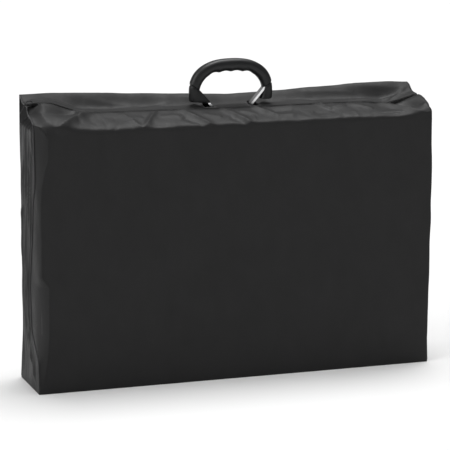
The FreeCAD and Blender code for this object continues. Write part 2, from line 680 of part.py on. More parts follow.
def carrying_handle():
    """Handle, brackets, pins and screws. Returns the screws, which also cut the top rail."""
    core = handle_core()
    pieces["handle_core"] = core
    pieces["handle_grip"] = handle_grip(core)
    rail_top = "table_base + table_width - vinyl"
    plate = block(
        "bracket_plate", ("handle_middle + plate_near", "handle_depth - plate_wide / 2", rail_top),
        ("plate_far - plate_near", "plate_wide", "plate_thick"),
    )
    ears = [
        block(
            f"bracket_ear_{number}", (f"handle_middle + {near}", "handle_depth - ear_wide / 2", rail_top),
            ("ear_thick", "ear_wide", "ear_top - table_base - table_width + vinyl"),
        )
        for number, near in enumerate(("ear_near", "ear_far"))
    ]
    pin = rod(
        "swing_pin_right", ("handle_middle + ear_near - pin_out", "handle_depth", "handle_pivot"), "swing_pin",
        "ear_far - ear_near + ear_thick + 2 * pin_out", "x",
    )
    screws = []
    for number, across in enumerate(("bracket_screw_near", "bracket_screw_far")):
        spot = (f"handle_middle + {across}", "handle_depth")
        head = rod(f"bracket_screw_head_{number}", (*spot, f"{rail_top} + plate_thick"), "screw_head", "screw")
        shank = rod(f"bracket_screw_{number}", (*spot, f"{rail_top} - screw_long"), "screw",
                    "screw_long + plate_thick + screw")
        screws.append(fuse(f"bracket_screw_whole_{number}", head, shank))
    screw_pair = group("bracket_screws_right", *screws)
    tools = group("bracket_tools", pin, screw_pair)
    bracket = cut("bracket_right", fuse("bracket_blank", plate, *ears), tools)
    pieces["handle_brackets"] = group("bracket_pair", bracket, flip_handle("bracket_left", bracket))
    pieces["handle_pins"] = group("swing_pin_pair", pin, flip_handle("swing_pin_left", pin))
    screws_all = group("bracket_screws", screw_pair, flip_handle("bracket_screws_left", screw_pair))
    pieces["handle_screws"] = screws_all
    return screws_all


# ---- cover and zip ----

# The front shoulder rises from the flat face to a lip, through a bend; the rear one is a tighter curve.
BEND_IN, BEND_UP, LIP_IN, LIP_UP = 7, 18, 24, 28
REAR_BEND_IN, REAR_BEND_DOWN, REAR_KNEE = 19, 8, 30
# Farther than the cover reaches, for boxes that cut right through it, and a height between its face and its top.
BEYOND = 1000
UNDER_THE_TOP = 600


def slab(low, high):
    """A plain box between two corners, used to cut."""
    return Part.makeBox(*(b - a for a, b in zip(low, high)), Vector(*low))


def cover_section(across, zip_height, crown_height, inset):
    """The cover's closed outline at one place along X, drawn in by the inset."""
    half = size("cover_depth") / 2 - inset
    shoulder, floor = size("shoulder_height"), inset
    crown = size("crown_across")

    def spot(depth, up):
        return Vector(across, depth, up)

    front, rear = spot(-half, floor), spot(half, floor)
    front_knee, front_bend = spot(-half, shoulder), spot(-half + BEND_IN, shoulder + BEND_UP - inset / 2)
    front_lip = spot(-half + LIP_IN, shoulder + LIP_UP - inset)
    ridge, rear_top = spot(0, zip_height - inset), spot(crown, crown_height - inset)
    rear_bend = spot(crown + REAR_BEND_IN, crown_height - REAR_BEND_DOWN)
    rear_knee = spot(half, crown_height - REAR_KNEE)
    return Part.Wire([
        Part.makeLine(front, front_knee),
        Part.Arc(front_knee, front_bend, front_lip).toShape(),
        Part.makeLine(front_lip, ridge),
        Part.makeLine(ridge, rear_top),
        Part.Arc(rear_top, rear_bend, rear_knee).toShape(),
        Part.makeLine(rear_knee, rear),
        Part.makeLine(rear, front),
    ])


def cover_form(inset):
    """The cover's full closed form, from one end to the other."""
    return Part.makeLoft([cover_section(*station, inset) for station in STATIONS], True, False)


def cloth_height(depth, zip_height, crown_height):
    """How high the cover's top lies at a depth near the zip."""
    if depth > 0:
        return zip_height + depth * (crown_height - zip_height) / size("crown_across")
    lip_depth, lip_height = size("cover_depth") / 2 - LIP_IN, size("shoulder_height") + LIP_UP
    return zip_height + depth * (zip_height - lip_height) / lip_depth


def zip_bar(low, high, below, thick, level=False):
    """A flat bar that follows the zip line between two depths, below the cloth; a level one doesn't slope."""
    sections = []
    for across, zip_height, crown_height in STATIONS:
        tops = [
            (zip_height if level else cloth_height(depth, zip_height, crown_height)) - below for depth in (low, high)
        ]
        corners = [
            Vector(across, low, tops[0] - thick), Vector(across, high, tops[1] - thick),
            Vector(across, high, tops[1]), Vector(across, low, tops[0]),
        ]
        sections.append(Part.makePolygon(corners + corners[:1]))
    bar = Part.makeLoft(sections, True, False)
    left, right = size("chain_left"), size("chain_right")
    return bar.common(slab((left, -BEYOND, 0), (right, BEYOND, BEYOND)))


def cover():
    """The cloth cover: base, two long panels that meet at the zip, two end gussets and the slot bindings."""
    cloth, half = size("cloth"), size("cover_length") / 2
    deep = size("cover_depth")
    outer, inner, proud = cover_form(0), cover_form(cloth), cover_form(-size("binding_rise"))
    wall = outer.cut(inner)
    gap, base = size("zip_gap"), size("base_panel")
    middle, near, far = size("handle_middle"), size("slot_near"), size("slot_far")
    depth, slot_deep, edge = size("handle_depth"), size("slot_deep"), size("binding")
    windows, rings = [], []
    for side in (1, -1):
        low, high_across = sorted((middle + side * near, middle + side * far))
        window = slab((low, depth - slot_deep / 2, UNDER_THE_TOP), (high_across, depth + slot_deep / 2, BEYOND))
        around = slab((low - edge, depth - slot_deep / 2 - edge, UNDER_THE_TOP),
                      (high_across + edge, depth + slot_deep / 2 + edge, BEYOND))
        windows.append(around)
        rings.append(proud.cut(inner).common(around.cut(window)))
    ends = half - cloth
    front = wall.common(slab((-ends, -deep, 0), (ends, -gap, BEYOND))).cut(
        slab((-half, -deep / 2 + cloth, -1), (half, 0, base)))
    rear = wall.common(slab((-ends, gap, 0), (ends, deep, BEYOND))).cut(
        slab((-half, -1, -1), (half, deep / 2 - cloth, base)))
    for window in windows:
        rear = rear.cut(window)
    pieces["cover_front_panel"] = shape_feature("front_panel_cloth", front)
    pieces["cover_rear_panel"] = shape_feature("rear_panel_cloth", rear)
    for label, start in (("cover_left_gusset", -half), ("cover_right_gusset", half - cloth)):
        end = outer.common(slab((start, -deep, 0), (start + cloth, deep, BEYOND)))
        pieces[label] = shape_feature(f"{label}_cloth", end)
    pieces["cover_handle_bindings"] = shape_feature("slot_bindings", Part.makeCompound(rings))
    pieces["cover_base_panel"] = block(
        "base_cloth", ("-cover_length / 2 + cloth", "-cover_depth / 2 + cloth", "0"),
        ("cover_length - 2 * cloth", "cover_depth - 2 * cloth", "base_panel"),
    )


def zip_fastener():
    """Tapes, teeth and end stops along the top, and the slider with its hanging pull at the left-hand end."""
    teeth, wide = size("teeth_half"), size("tape_wide")
    below, thick = size("tape_below"), size("tape_thick")
    pieces["zip_front_tape"] = shape_feature("front_tape", zip_bar(-wide, -teeth, below, thick))
    pieces["zip_rear_tape"] = shape_feature("rear_tape", zip_bar(teeth, wide, below, thick))
    teeth_bar = zip_bar(-teeth, teeth, size("teeth_below"), size("teeth_thick"), level=True)
    pieces["zip_teeth"] = shape_feature("teeth_chain", teeth_bar)
    left_zip = STATIONS[0][1]
    right_zip = STATIONS[-1][1]
    long, stop, tall, clear = size("stop_long"), size("stop_half"), size("stop_tall"), size("stop_gap")
    left_corner = Vector(size("chain_left") - long - clear, -stop, left_zip - size("left_stop_drop"))
    right_corner = Vector(size("chain_right") + clear, -stop, right_zip - size("right_stop_drop"))
    stops = [Part.makeBox(long, 2 * stop, tall, corner) for corner in (left_corner, right_corner)]
    pieces["zip_end_stops"] = shape_feature("end_stop_pair", Part.makeCompound(stops))
    plate = block(
        "slider_body", ("slider_left", "-slider_half", "slider_base"),
        ("slider_long", "2 * slider_half", "slider_thick"),
    )
    top = "slider_base + slider_thick"
    bridge = block(
        "slider_bridge", ("slider_left", "-bridge_half", top), ("bridge_long", "2 * bridge_half", "bridge_rise")
    )
    eye = block(
        "slider_eye", ("slider_left + bridge_wall", "-bridge_half", top),
        ("bridge_long - 2 * bridge_thick", "2 * bridge_half", "bridge_rise - bridge_thick"),
    )
    pieces["zip_slider"] = fuse("slider_whole", plate, cut("slider_loop", bridge, eye))
    bar = rod("pull_cross_bar", ("0", "-pull_half", "0"), "pull_bar", "2 * pull_half", "y")
    arms = [
        block(f"pull_arm_{number}", ("-pull_bar", low, "-pull_arm"), ("2 * pull_bar", "pull_thick", "pull_arm"))
        for number, low in enumerate(("-pull_half", "pull_half - pull_thick"))
    ]
    tab = block(
        "pull_tab", ("-pull_thick / 2", "-pull_half", "-pull_long"),
        ("pull_thick", "2 * pull_half", "pull_long - pull_arm"),
    )
    pull = fuse("pull_whole", bar, *arms, tab)
    pull.Placement = Placement(Vector(), Rotation(Vector(0, 1, 0), size("pull_lean")))
    pieces["zip_pull"] = move(pull, "pull_left", "0", "pull_height")


def check_and_write():
    """Stops if any feature failed or any piece isn't a sound solid, then writes one STEP file per piece."""
    doc.recompute()
    for thing in doc.Objects:
        if "Invalid" in thing.State or "Error" in thing.State:
            raise RuntimeError(f"{thing.Name} failed: {thing.State}")
    os.makedirs("parts", exist_ok=True)
    for label, thing in pieces.items():
        thing.Label = label
        shape = thing.Shape
        if shape.isNull() or not shape.isValid() or not shape.Solids or shape.Volume <= 0:
            raise RuntimeError(f"{label} isn't a sound solid")
    for label, thing in pieces.items():
        thing.Shape.exportStep(f"parts/{label}.step")
    print(f"{len(pieces)} pieces written")


padded_top()
rail_blanks = raw_rails()
hinge_screws = centre_hinges()
handle_screws = carrying_handle()
frame_half("rear", "rear_lane", rail_blanks, hinge_screws, handle_screws)
frame_half("front", "front_lane", rail_blanks, hinge_screws, None)
leg_pair("rear", "rear_lane")
leg_pair("front", "front_lane")
end_latches()
cover()
zip_fastener()
check_and_write()
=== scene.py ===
"""Looks for the folded massage table in its carry cover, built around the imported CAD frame."""

import logging
import math
from dataclasses import dataclass, field
from enum import Enum
from typing import Callable, Iterable, Sequence

import bmesh
import bpy
import numpy as np
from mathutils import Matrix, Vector, noise


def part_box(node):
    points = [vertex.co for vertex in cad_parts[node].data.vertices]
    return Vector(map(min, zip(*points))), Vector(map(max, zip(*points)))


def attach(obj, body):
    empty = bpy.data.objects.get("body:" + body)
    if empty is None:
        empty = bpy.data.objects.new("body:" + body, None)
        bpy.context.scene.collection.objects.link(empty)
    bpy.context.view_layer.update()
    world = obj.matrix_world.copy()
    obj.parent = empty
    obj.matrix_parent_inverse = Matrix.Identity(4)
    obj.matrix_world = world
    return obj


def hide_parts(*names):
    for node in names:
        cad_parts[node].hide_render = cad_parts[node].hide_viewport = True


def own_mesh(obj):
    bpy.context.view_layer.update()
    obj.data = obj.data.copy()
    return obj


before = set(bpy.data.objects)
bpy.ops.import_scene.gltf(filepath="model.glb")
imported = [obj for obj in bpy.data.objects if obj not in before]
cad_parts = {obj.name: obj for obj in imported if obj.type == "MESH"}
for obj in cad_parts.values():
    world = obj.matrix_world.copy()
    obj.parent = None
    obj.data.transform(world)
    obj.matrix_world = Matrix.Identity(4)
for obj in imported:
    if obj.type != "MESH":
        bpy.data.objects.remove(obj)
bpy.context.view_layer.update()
LOG = logging.getLogger("massage_table")
Socket = bpy.types.NodeSocket


# ---------------------------------------------------------------- shader wiring and shared groups


class Wiring:
    """Short calls that place and join shader nodes in one tree."""

    def __init__(self, tree: bpy.types.NodeTree) -> None:
        """Keep the tree that the nodes go into."""
        self.tree = tree

    def node(self, kind: str, **settings: object) -> bpy.types.Node:
        """Add a node and set its plain properties.

        Args:
            kind: The node's type name.
            settings: Property names and values.

        Returns:
            The new node.
        """
        made = self.tree.nodes.new(kind)
        for name, value in settings.items():
            setattr(made, name, value)
        return made

    def feed(self, target: Socket, source: object) -> None:
        """Join a socket to the target, or set the target's own value."""
        if isinstance(source, bpy.types.NodeSocket):
            self.tree.links.new(source, target)
        else:
            target.default_value = source

    def math(self, operation: str, first: object, second: object = 0.0, third: object = 0.0) -> Socket:
        """Add a Math node.

        Args:
            operation: The node's operation.
            first: Its first value or socket.
            second: Its second value or socket.
            third: Its third value or socket.

        Returns:
            The node's result.
        """
        made = self.node("ShaderNodeMath", operation=operation)
        for target, source in zip(made.inputs, (first, second, third)):
            self.feed(target, source)
        return made.outputs[0]

    def mix(self, share: object, first: object, second: object) -> Socket:
        """Mix two colours by a share and return the result."""
        made = self.node("ShaderNodeMix", data_type="RGBA")
        for index, source in ((0, share), (6, first), (7, second)):
            self.feed(made.inputs[index], source)
        return made.outputs[2]

    def span(self, value: object, low: float, high: float, to_low: object, to_high: object) -> Socket:
        """Map a value from one range to another, clamped, and return the result."""
        made = self.node("ShaderNodeMapRange")
        for target, source in zip(made.inputs[:5], (value, low, high, to_low, to_high)):
            self.feed(target, source)
        return made.outputs[0]

    def noise(self, place: Socket, scale: object, detail: float, rough: float = 0.55) -> Socket:
        """Add a noise texture and return its strength."""
        made = self.node("ShaderNodeTexNoise")
        for name, source in (("Vector", place), ("Scale", scale), ("Detail", detail), ("Roughness", rough)):
            self.feed(made.inputs[name], source)
        return made.outputs["Fac"]

    def stretch(self, place: Socket, scale: Sequence[float]) -> Socket:
        """Scale a place along each axis and return it."""
        made = self.node("ShaderNodeVectorMath", operation="MULTIPLY")
        self.feed(made.inputs[0], place)
        made.inputs[1].default_value = scale
        return made.outputs[0]

    def object_place(self) -> Socket:
        """Return the place on the piece, in metres."""
        return self.node("ShaderNodeTexCoord").outputs["Object"]


def new_group(name: str, inputs: dict[str, tuple[str, object]], outputs: dict[str, str]) -> Wiring:
    """Start a shader node group with named sockets.

    Args:
        name: The group's name.
        inputs: Socket names, each with its type and default value.
        outputs: Socket names and types.

    Returns:
        The wiring of the new group, with its two end nodes placed.
    """
    tree = bpy.data.node_groups.new(name, "ShaderNodeTree")
    for title, (kind, value) in inputs.items():
        tree.interface.new_socket(title, in_out="INPUT", socket_type=kind).default_value = value
    for title, kind in outputs.items():
        tree.interface.new_socket(title, in_out="OUTPUT", socket_type=kind)
    wiring = Wiring(tree)
    wiring.node("NodeGroupInput", name="start")
    wiring.node("NodeGroupOutput", name="end")
    return wiring


FLOAT, COLOUR = "NodeSocketFloat", "NodeSocketColor"


def weave_group() -> bpy.types.NodeTree:
    """Build the woven cloth group: crossing threads on every side of a piece, creases and faded patches.

    Returns:
        The group, which puts out a colour, a roughness and a height.
    """
    wiring = new_group(
        "woven_cloth",
        {"Threads": (FLOAT, 900.0), "Thread Depth": (FLOAT, 1.0), "Crease": (FLOAT, 1.0), "Fade": (FLOAT, 0.3),
         "Colour": (COLOUR, (0.02, 0.02, 0.02, 1)), "Worn Colour": (COLOUR, (0.04, 0.04, 0.04, 1))},
        {"Colour": COLOUR, "Roughness": FLOAT, "Height": FLOAT},
    )
    start, end = wiring.tree.nodes["start"], wiring.tree.nodes["end"]
    place = wiring.object_place()
    parts = wiring.node("ShaderNodeSeparateXYZ")
    wiring.feed(parts.inputs[0], place)
    facing = wiring.node("ShaderNodeSeparateXYZ")
    wiring.feed(facing.inputs[0], wiring.node("ShaderNodeNewGeometry").outputs["Normal"])
    turns = wiring.math("MULTIPLY", start.outputs["Threads"], math.tau)
    waves = [wiring.math("SINE", wiring.math("MULTIPLY", axis, turns)) for axis in parts.outputs]
    total: object = 0.0
    for index in range(3):
        across, along = waves[(index + 1) % 3], waves[(index + 2) % 3]
        squared = wiring.math("POWER", wiring.math("ABSOLUTE", facing.outputs[index]), 2.0)
        total = wiring.math("MULTIPLY_ADD", wiring.math("MULTIPLY", across, along), squared, total)
    threads = wiring.math("MULTIPLY", total, start.outputs["Thread Depth"])
    creases = wiring.noise(wiring.stretch(place, (1.0, 1.0, 0.55)), 26.0, 5.0, 0.6)
    fine = wiring.noise(place, 140.0, 3.0)
    soft = wiring.math("MULTIPLY", creases, start.outputs["Crease"])
    height = wiring.math("MULTIPLY_ADD", threads, 0.12, wiring.math("MULTIPLY_ADD", fine, 0.15, soft))
    wiring.feed(end.inputs["Height"], height)
    patches = wiring.span(wiring.noise(place, 5.0, 4.0), 0.35, 0.75, 0.0, start.outputs["Fade"])
    wiring.feed(end.inputs["Colour"], wiring.mix(patches, start.outputs["Colour"], start.outputs["Worn Colour"]))
    wiring.feed(end.inputs["Roughness"], wiring.span(creases, 0.3, 0.7, 0.50, 0.62))
    return wiring.tree


def timber_group() -> bpy.types.NodeTree:
    """Build the timber group: long grain, growth bands and pores along one axis.

    Returns:
        The group, which puts out a colour, a roughness and a height.
    """
    wiring = new_group(
        "timber_grain",
        {"Along X": (FLOAT, 1.0), "Light Wood": (COLOUR, (0.6, 0.4, 0.2, 1)), "Dark Wood": (COLOUR, (0.4, 0.2, 0.1, 1))},
        {"Colour": COLOUR, "Roughness": FLOAT, "Height": FLOAT},
    )
    start, end = wiring.tree.nodes["start"], wiring.tree.nodes["end"]
    place = wiring.object_place()
    lengthwise = wiring.stretch(place, (1.2, 22.0, 22.0))
    upright = wiring.stretch(place, (22.0, 22.0, 1.2))
    picked = wiring.mix(start.outputs["Along X"], upright, lengthwise)
    bands = wiring.noise(picked, 1.6, 4.0, 0.6)
    fibres = wiring.noise(picked, 14.0, 3.0, 0.65)
    tone = wiring.math("MULTIPLY_ADD", fibres, 0.35, wiring.math("MULTIPLY", bands, 0.75))
    share = wiring.span(tone, 0.32, 0.78, 0.0, 1.0)
    wiring.feed(end.inputs["Colour"], wiring.mix(share, start.outputs["Light Wood"], start.outputs["Dark Wood"]))
    wiring.feed(end.inputs["Roughness"], wiring.span(fibres, 0.3, 0.7, 0.34, 0.5))
    wiring.feed(end.inputs["Height"], fibres)
    return wiring.tree


def hide_group() -> bpy.types.NodeTree:
    """Build the grained hide group: pebbles with valleys between them, and a few broad dents.

    Returns:
        The group, which puts out a colour, a roughness and a height.
    """
    wiring = new_group(
        "grained_hide",
        {"Pebbles": (FLOAT, 700.0), "Colour": (COLOUR, (0.02, 0.02, 0.02, 1)),
         "Valley Colour": (COLOUR, (0.01, 0.01, 0.01, 1))},
        {"Colour": COLOUR, "Roughness": FLOAT, "Height": FLOAT},
    )
    start, end = wiring.tree.nodes["start"], wiring.tree.nodes["end"]
    place = wiring.object_place()
    cells = wiring.node("ShaderNodeTexVoronoi", feature="DISTANCE_TO_EDGE")
    wiring.feed(cells.inputs["Vector"], place)
    wiring.feed(cells.inputs["Scale"], start.outputs["Pebbles"])
    pebble = wiring.span(cells.outputs["Distance"], 0.0, 0.18, 0.0, 1.0)
    dents = wiring.noise(place, 30.0, 3.0)
    wiring.feed(end.inputs["Height"], wiring.math("MULTIPLY_ADD", pebble, 0.4, dents))
    wiring.feed(end.inputs["Colour"], wiring.mix(pebble, start.outputs["Valley Colour"], start.outputs["Colour"]))
    wiring.feed(end.inputs["Roughness"], wiring.span(dents, 0.3, 0.7, 0.36, 0.5))
    return wiring.tree


def handled_group() -> bpy.types.NodeTree:
    """Build the group for moulded and plated pieces: fine texture, rubbed edges and light dust.

    Returns:
        The group, which puts out a colour, a roughness and a height.
    """
    wiring = new_group(
        "handled_surface",
        {"Texture": (FLOAT, 900.0), "Stretch": (FLOAT, 1.0), "Edge": (FLOAT, 0.5), "Smooth": (FLOAT, 0.35),
         "Rough": (FLOAT, 0.5), "Colour": (COLOUR, (0.02, 0.02, 0.02, 1)),
         "Edge Colour": (COLOUR, (0.1, 0.1, 0.1, 1))},
        {"Colour": COLOUR, "Roughness": FLOAT, "Height": FLOAT},
    )
    start, end = wiring.tree.nodes["start"], wiring.tree.nodes["end"]
    place = wiring.object_place()
    parts = wiring.node("ShaderNodeSeparateXYZ")
    wiring.feed(parts.inputs[0], place)
    pulled = wiring.node("ShaderNodeCombineXYZ")
    wiring.feed(pulled.inputs[0], parts.outputs[0])
    wiring.feed(pulled.inputs[1], wiring.math("MULTIPLY", parts.outputs[1], start.outputs["Stretch"]))
    wiring.feed(pulled.inputs[2], wiring.math("MULTIPLY", parts.outputs[2], start.outputs["Stretch"]))
    grain = wiring.noise(pulled.outputs[0], start.outputs["Texture"], 3.0)
    marks = wiring.noise(place, 45.0, 5.0, 0.65)
    sharp = wiring.node("ShaderNodeNewGeometry").outputs["Pointiness"]
    edge = wiring.span(sharp, 0.52, 0.6, 0.0, start.outputs["Edge"])
    rubbed = wiring.math("MULTIPLY", edge, wiring.span(marks, 0.4, 0.6, 0.3, 1.0))
    wiring.feed(end.inputs["Colour"], wiring.mix(rubbed, start.outputs["Colour"], start.outputs["Edge Colour"]))
    wiring.feed(end.inputs["Roughness"],
                wiring.span(marks, 0.3, 0.7, start.outputs["Smooth"], start.outputs["Rough"]))
    wiring.feed(end.inputs["Height"], grain)
    return wiring.tree


class Effect(Enum):
    """The shared surface effects."""

    WEAVE = "woven_cloth"
    TIMBER = "timber_grain"
    HIDE = "grained_hide"
    HANDLED = "handled_surface"


EFFECT_BUILDERS: dict[Effect, Callable[[], bpy.types.NodeTree]] = {
    Effect.WEAVE: weave_group,
    Effect.TIMBER: timber_group,
    Effect.HIDE: hide_group,
    Effect.HANDLED: handled_group,
}


# ---------------------------------------------------------------- finishes


FINISHED: dict[str, bpy.types.Material] = {}


@dataclass(frozen=True)
class Finish:
    """One finish: a shared effect with its own values, and the shader's own settings."""

    name: str
    effect: Effect
    values: dict[str, object]
    bump: float
    metallic: float = 0.0
    sheen: float = 0.0
    coat: float = 0.0
    specular: float = 0.5

    def material(self) -> bpy.types.Material:
        """Return the finish's material, made on first use."""
        if self.name in FINISHED:
            return FINISHED[self.name]
        made = FINISHED[self.name] = bpy.data.materials.new(self.name)
        made.use_nodes = True
        wiring = Wiring(made.node_tree)
        shader = made.node_tree.nodes["Principled BSDF"]
        group = wiring.node("ShaderNodeGroup")
        group.node_tree = bpy.data.node_groups.get(self.effect.value) or EFFECT_BUILDERS[self.effect]()
        for title, value in self.values.items():
            group.inputs[title].default_value = (*value, 1.0) if isinstance(value, tuple) else value
        wiring.feed(shader.inputs["Base Color"], group.outputs["Colour"])
        wiring.feed(shader.inputs["Roughness"], group.outputs["Roughness"])
        bump = wiring.node("ShaderNodeBump")
        bump.inputs["Distance"].default_value = self.bump
        wiring.feed(bump.inputs["Height"], group.outputs["Height"])
        wiring.feed(shader.inputs["Normal"], bump.outputs["Normal"])
        shader.inputs["Metallic"].default_value = self.metallic
        shader.inputs["Sheen Weight"].default_value = self.sheen
        shader.inputs["Sheen Roughness"].default_value = 0.45
        shader.inputs["Coat Weight"].default_value = self.coat
        shader.inputs["Specular IOR Level"].default_value = self.specular
        return made


COVER_CLOTH = Finish(
    "woven_cover_cloth", Effect.WEAVE,
    {"Threads": 1100.0, "Thread Depth": 0.3, "Crease": 0.9, "Fade": 0.35,
     "Colour": (0.0108, 0.0108, 0.0110), "Worn Colour": (0.0148, 0.0148, 0.0151)},
    bump=0.0011, sheen=0.0, specular=0.262,
)
# Black zip tape, painted several times darker than the cloth: the extra darkness is painted shade for the zip's
# recessed groove.
ZIP_TAPE_PAINTED_SHADE = Finish(
    "woven_zip_tape_painted_shade", Effect.WEAVE,
    {"Threads": 900.0, "Thread Depth": 1.5, "Crease": 0.1, "Fade": 0.2,
     "Colour": (0.0018, 0.0018, 0.0019), "Worn Colour": (0.003, 0.003, 0.003)},
    bump=0.0005, specular=0.06,
)
WEBBING = Finish(
    "webbing", Effect.WEAVE,
    {"Threads": 600.0, "Thread Depth": 2.2, "Crease": 0.2, "Fade": 0.2,
     "Colour": (0.012, 0.012, 0.013), "Worn Colour": (0.022, 0.022, 0.023)},
    bump=0.0008, sheen=0.1,
)
THREAD = Finish(
    "sewing_thread", Effect.WEAVE,
    {"Threads": 1600.0, "Thread Depth": 2.0, "Crease": 0.1, "Fade": 0.2,
     "Colour": (0.03, 0.03, 0.031), "Worn Colour": (0.045, 0.045, 0.046)},
    bump=0.0003, sheen=0.2,
)
# Black nylon teeth, painted darker than the cloth: the extra darkness is painted shade for the zip's groove.
COIL_NYLON_PAINTED_SHADE = Finish(
    "coil_nylon_painted_shade", Effect.HANDLED,
    {"Texture": 1500.0, "Edge": 0.3, "Smooth": 0.28, "Rough": 0.42,
     "Colour": (0.004, 0.004, 0.0042), "Edge Colour": (0.012, 0.012, 0.012)},
    bump=0.0001, specular=0.15,
)
ENAMELLED_METAL = Finish(
    "enamelled_metal", Effect.HANDLED,
    {"Texture": 900.0, "Edge": 0.5, "Smooth": 0.42, "Rough": 0.58,
     "Colour": (0.016, 0.016, 0.017), "Edge Colour": (0.08, 0.08, 0.08)},
    bump=0.0001, metallic=0.1, specular=0.35,
)
MOULDED_GRIP = Finish(
    "moulded_grip", Effect.HANDLED,
    {"Texture": 1300.0, "Edge": 0.2, "Smooth": 0.34, "Rough": 0.48,
     "Colour": (0.0060, 0.0064, 0.0068), "Edge Colour": (0.014, 0.015, 0.016)},
    bump=0.00025, specular=0.38,
)
PLATED_STEEL = Finish(
    "bright_plated_steel", Effect.HANDLED,
    {"Texture": 500.0, "Stretch": 4.0, "Edge": 0.2, "Smooth": 0.12, "Rough": 0.28,
     "Colour": (0.78, 0.78, 0.79), "Edge Colour": (0.9, 0.9, 0.9)},
    bump=0.00004, metallic=1.0,
)
ZINC_STEEL = Finish(
    "dull_zinc_steel", Effect.HANDLED,
    {"Texture": 400.0, "Stretch": 3.0, "Edge": 0.3, "Smooth": 0.3, "Rough": 0.48,
     "Colour": (0.55, 0.55, 0.53), "Edge Colour": (0.75, 0.75, 0.74)},
    bump=0.00006, metallic=1.0,
)
BLACK_KNOB = Finish(
    "black_knob", Effect.HANDLED,
    {"Texture": 1100.0, "Edge": 0.5, "Smooth": 0.35, "Rough": 0.5,
     "Colour": (0.016, 0.016, 0.017), "Edge Colour": (0.07, 0.07, 0.07)},
    bump=0.0002,
)
FOOT_RUBBER = Finish(
    "moulded_foot_rubber", Effect.HANDLED,
    {"Texture": 700.0, "Edge": 0.4, "Smooth": 0.65, "Rough": 0.85,
     "Colour": (0.02, 0.02, 0.02), "Edge Colour": (0.07, 0.07, 0.068)},
    bump=0.0004,
)
BEECH_LONG = Finish(
    "beech_lengthwise", Effect.TIMBER,
    {"Along X": 1.0, "Light Wood": (0.62, 0.39, 0.21), "Dark Wood": (0.4, 0.21, 0.095)},
    bump=0.00025, coat=0.25,
)
BEECH_UPRIGHT = Finish(
    "beech_upright", Effect.TIMBER,
    {"Along X": 0.0, "Light Wood": (0.62, 0.39, 0.21), "Dark Wood": (0.4, 0.21, 0.095)},
    bump=0.00025, coat=0.25,
)
BIRCH_PLY = Finish(
    "birch_ply", Effect.TIMBER,
    {"Along X": 1.0, "Light Wood": (0.76, 0.6, 0.4), "Dark Wood": (0.56, 0.39, 0.22)},
    bump=0.0002, coat=0.15,
)
BLACK_VINYL = Finish(
    "black_vinyl", Effect.HIDE,
    {"Pebbles": 650.0, "Colour": (0.02, 0.02, 0.021), "Valley Colour": (0.009, 0.009, 0.01)},
    bump=0.0005, coat=0.1,
)


# ---------------------------------------------------------------- mesh helpers


def mesh_piece(name: str, points: Iterable[Sequence[float]], faces: Iterable[Sequence[int]], finish: Finish,
               smooth: bool = True) -> bpy.types.Object:
    """Make a mesh object in the row frame.

    Args:
        name: The piece's name.
        points: Its vertices, in metres.
        faces: Its faces, as vertex numbers.
        finish: The finish that it wears.
        smooth: Whether its faces are shaded smooth.

    Returns:
        The object, linked to the scene.
    """
    mesh = bpy.data.meshes.new(name)
    mesh.from_pydata([tuple(map(float, point)) for point in points], [], [tuple(map(int, face)) for face in faces])
    mesh.validate()
    mesh.polygons.foreach_set("use_smooth", [smooth] * len(mesh.polygons))
    mesh.materials.append(finish.material())
    piece = bpy.data.objects.new(name, mesh)
    bpy.context.scene.collection.objects.link(piece)
    return piece


def grid_faces(rows: int, columns: int, closed: bool = False, start: int = 0) -> list[tuple[int, int, int, int]]:
    """Return the quads of a grid of points in row order.

    Args:
        rows: The number of rows.
        columns: The number of points in a row.
        closed: Whether each row closes on itself.
        start: The number of the first point.

    Returns:
        The quads.
    """
    quads = []
    for row in range(rows - 1):
        for column in range(columns if closed else columns - 1):
            after = (column + 1) % columns
            low, high = start + row * columns, start + (row + 1) * columns
            quads.append((low + column, low + after, high + after, high + column))
    return quads


def joined(parts: Sequence[tuple[np.ndarray, list[tuple[int, ...]]]]) -> tuple[np.ndarray, list[tuple[int, ...]]]:
    """Put several sets of points and faces into one."""
    points, faces, count = [], [], 0
    for part_points, part_faces in parts:
        points.append(np.asarray(part_points, float).reshape(-1, 3))
        faces.extend(tuple(number + count for number in face) for face in part_faces)
        count += len(points[-1])
    return np.concatenate(points), faces


def tube(path: np.ndarray, radius: float, sides: int = 6, closed: bool = False) -> tuple[np.ndarray, list]:
    """Sweep a round section along a path.

    Args:
        path: The points of its middle line.
        radius: The tube's radius.
        sides: How many sides the section has.
        closed: Whether the path closes on itself.

    Returns:
        The tube's points and faces.
    """
    ahead = np.roll(path, -1, 0) - np.roll(path, 1, 0)
    if not closed:
        ahead[0], ahead[-1] = path[1] - path[0], path[-1] - path[-2]
    ahead /= np.linalg.norm(ahead, axis=1)[:, None]
    guide = np.array([0.0, 0.0, 1.0]) if abs(ahead[:, 2]).mean() < 0.8 else np.array([0.0, 1.0, 0.0])
    side = np.cross(ahead, guide)
    side /= np.maximum(np.linalg.norm(side, axis=1), 1e-9)[:, None]
    up = np.cross(side, ahead)
    angles = np.linspace(0, math.tau, sides, endpoint=False)
    ring = np.cos(angles)[None, :, None] * side[:, None, :] + np.sin(angles)[None, :, None] * up[:, None, :]
    points = (path[:, None, :] + radius * ring).reshape(-1, 3)
    faces = grid_faces(len(path), sides, closed=True)
    last = (len(path) - 1) * sides
    if closed:
        faces += [
            (last + index, last + (index + 1) % sides, (index + 1) % sides, index) for index in range(sides)
        ]
    else:
        faces += [tuple(range(sides))[::-1], tuple(last + index for index in range(sides))]
    return points, faces


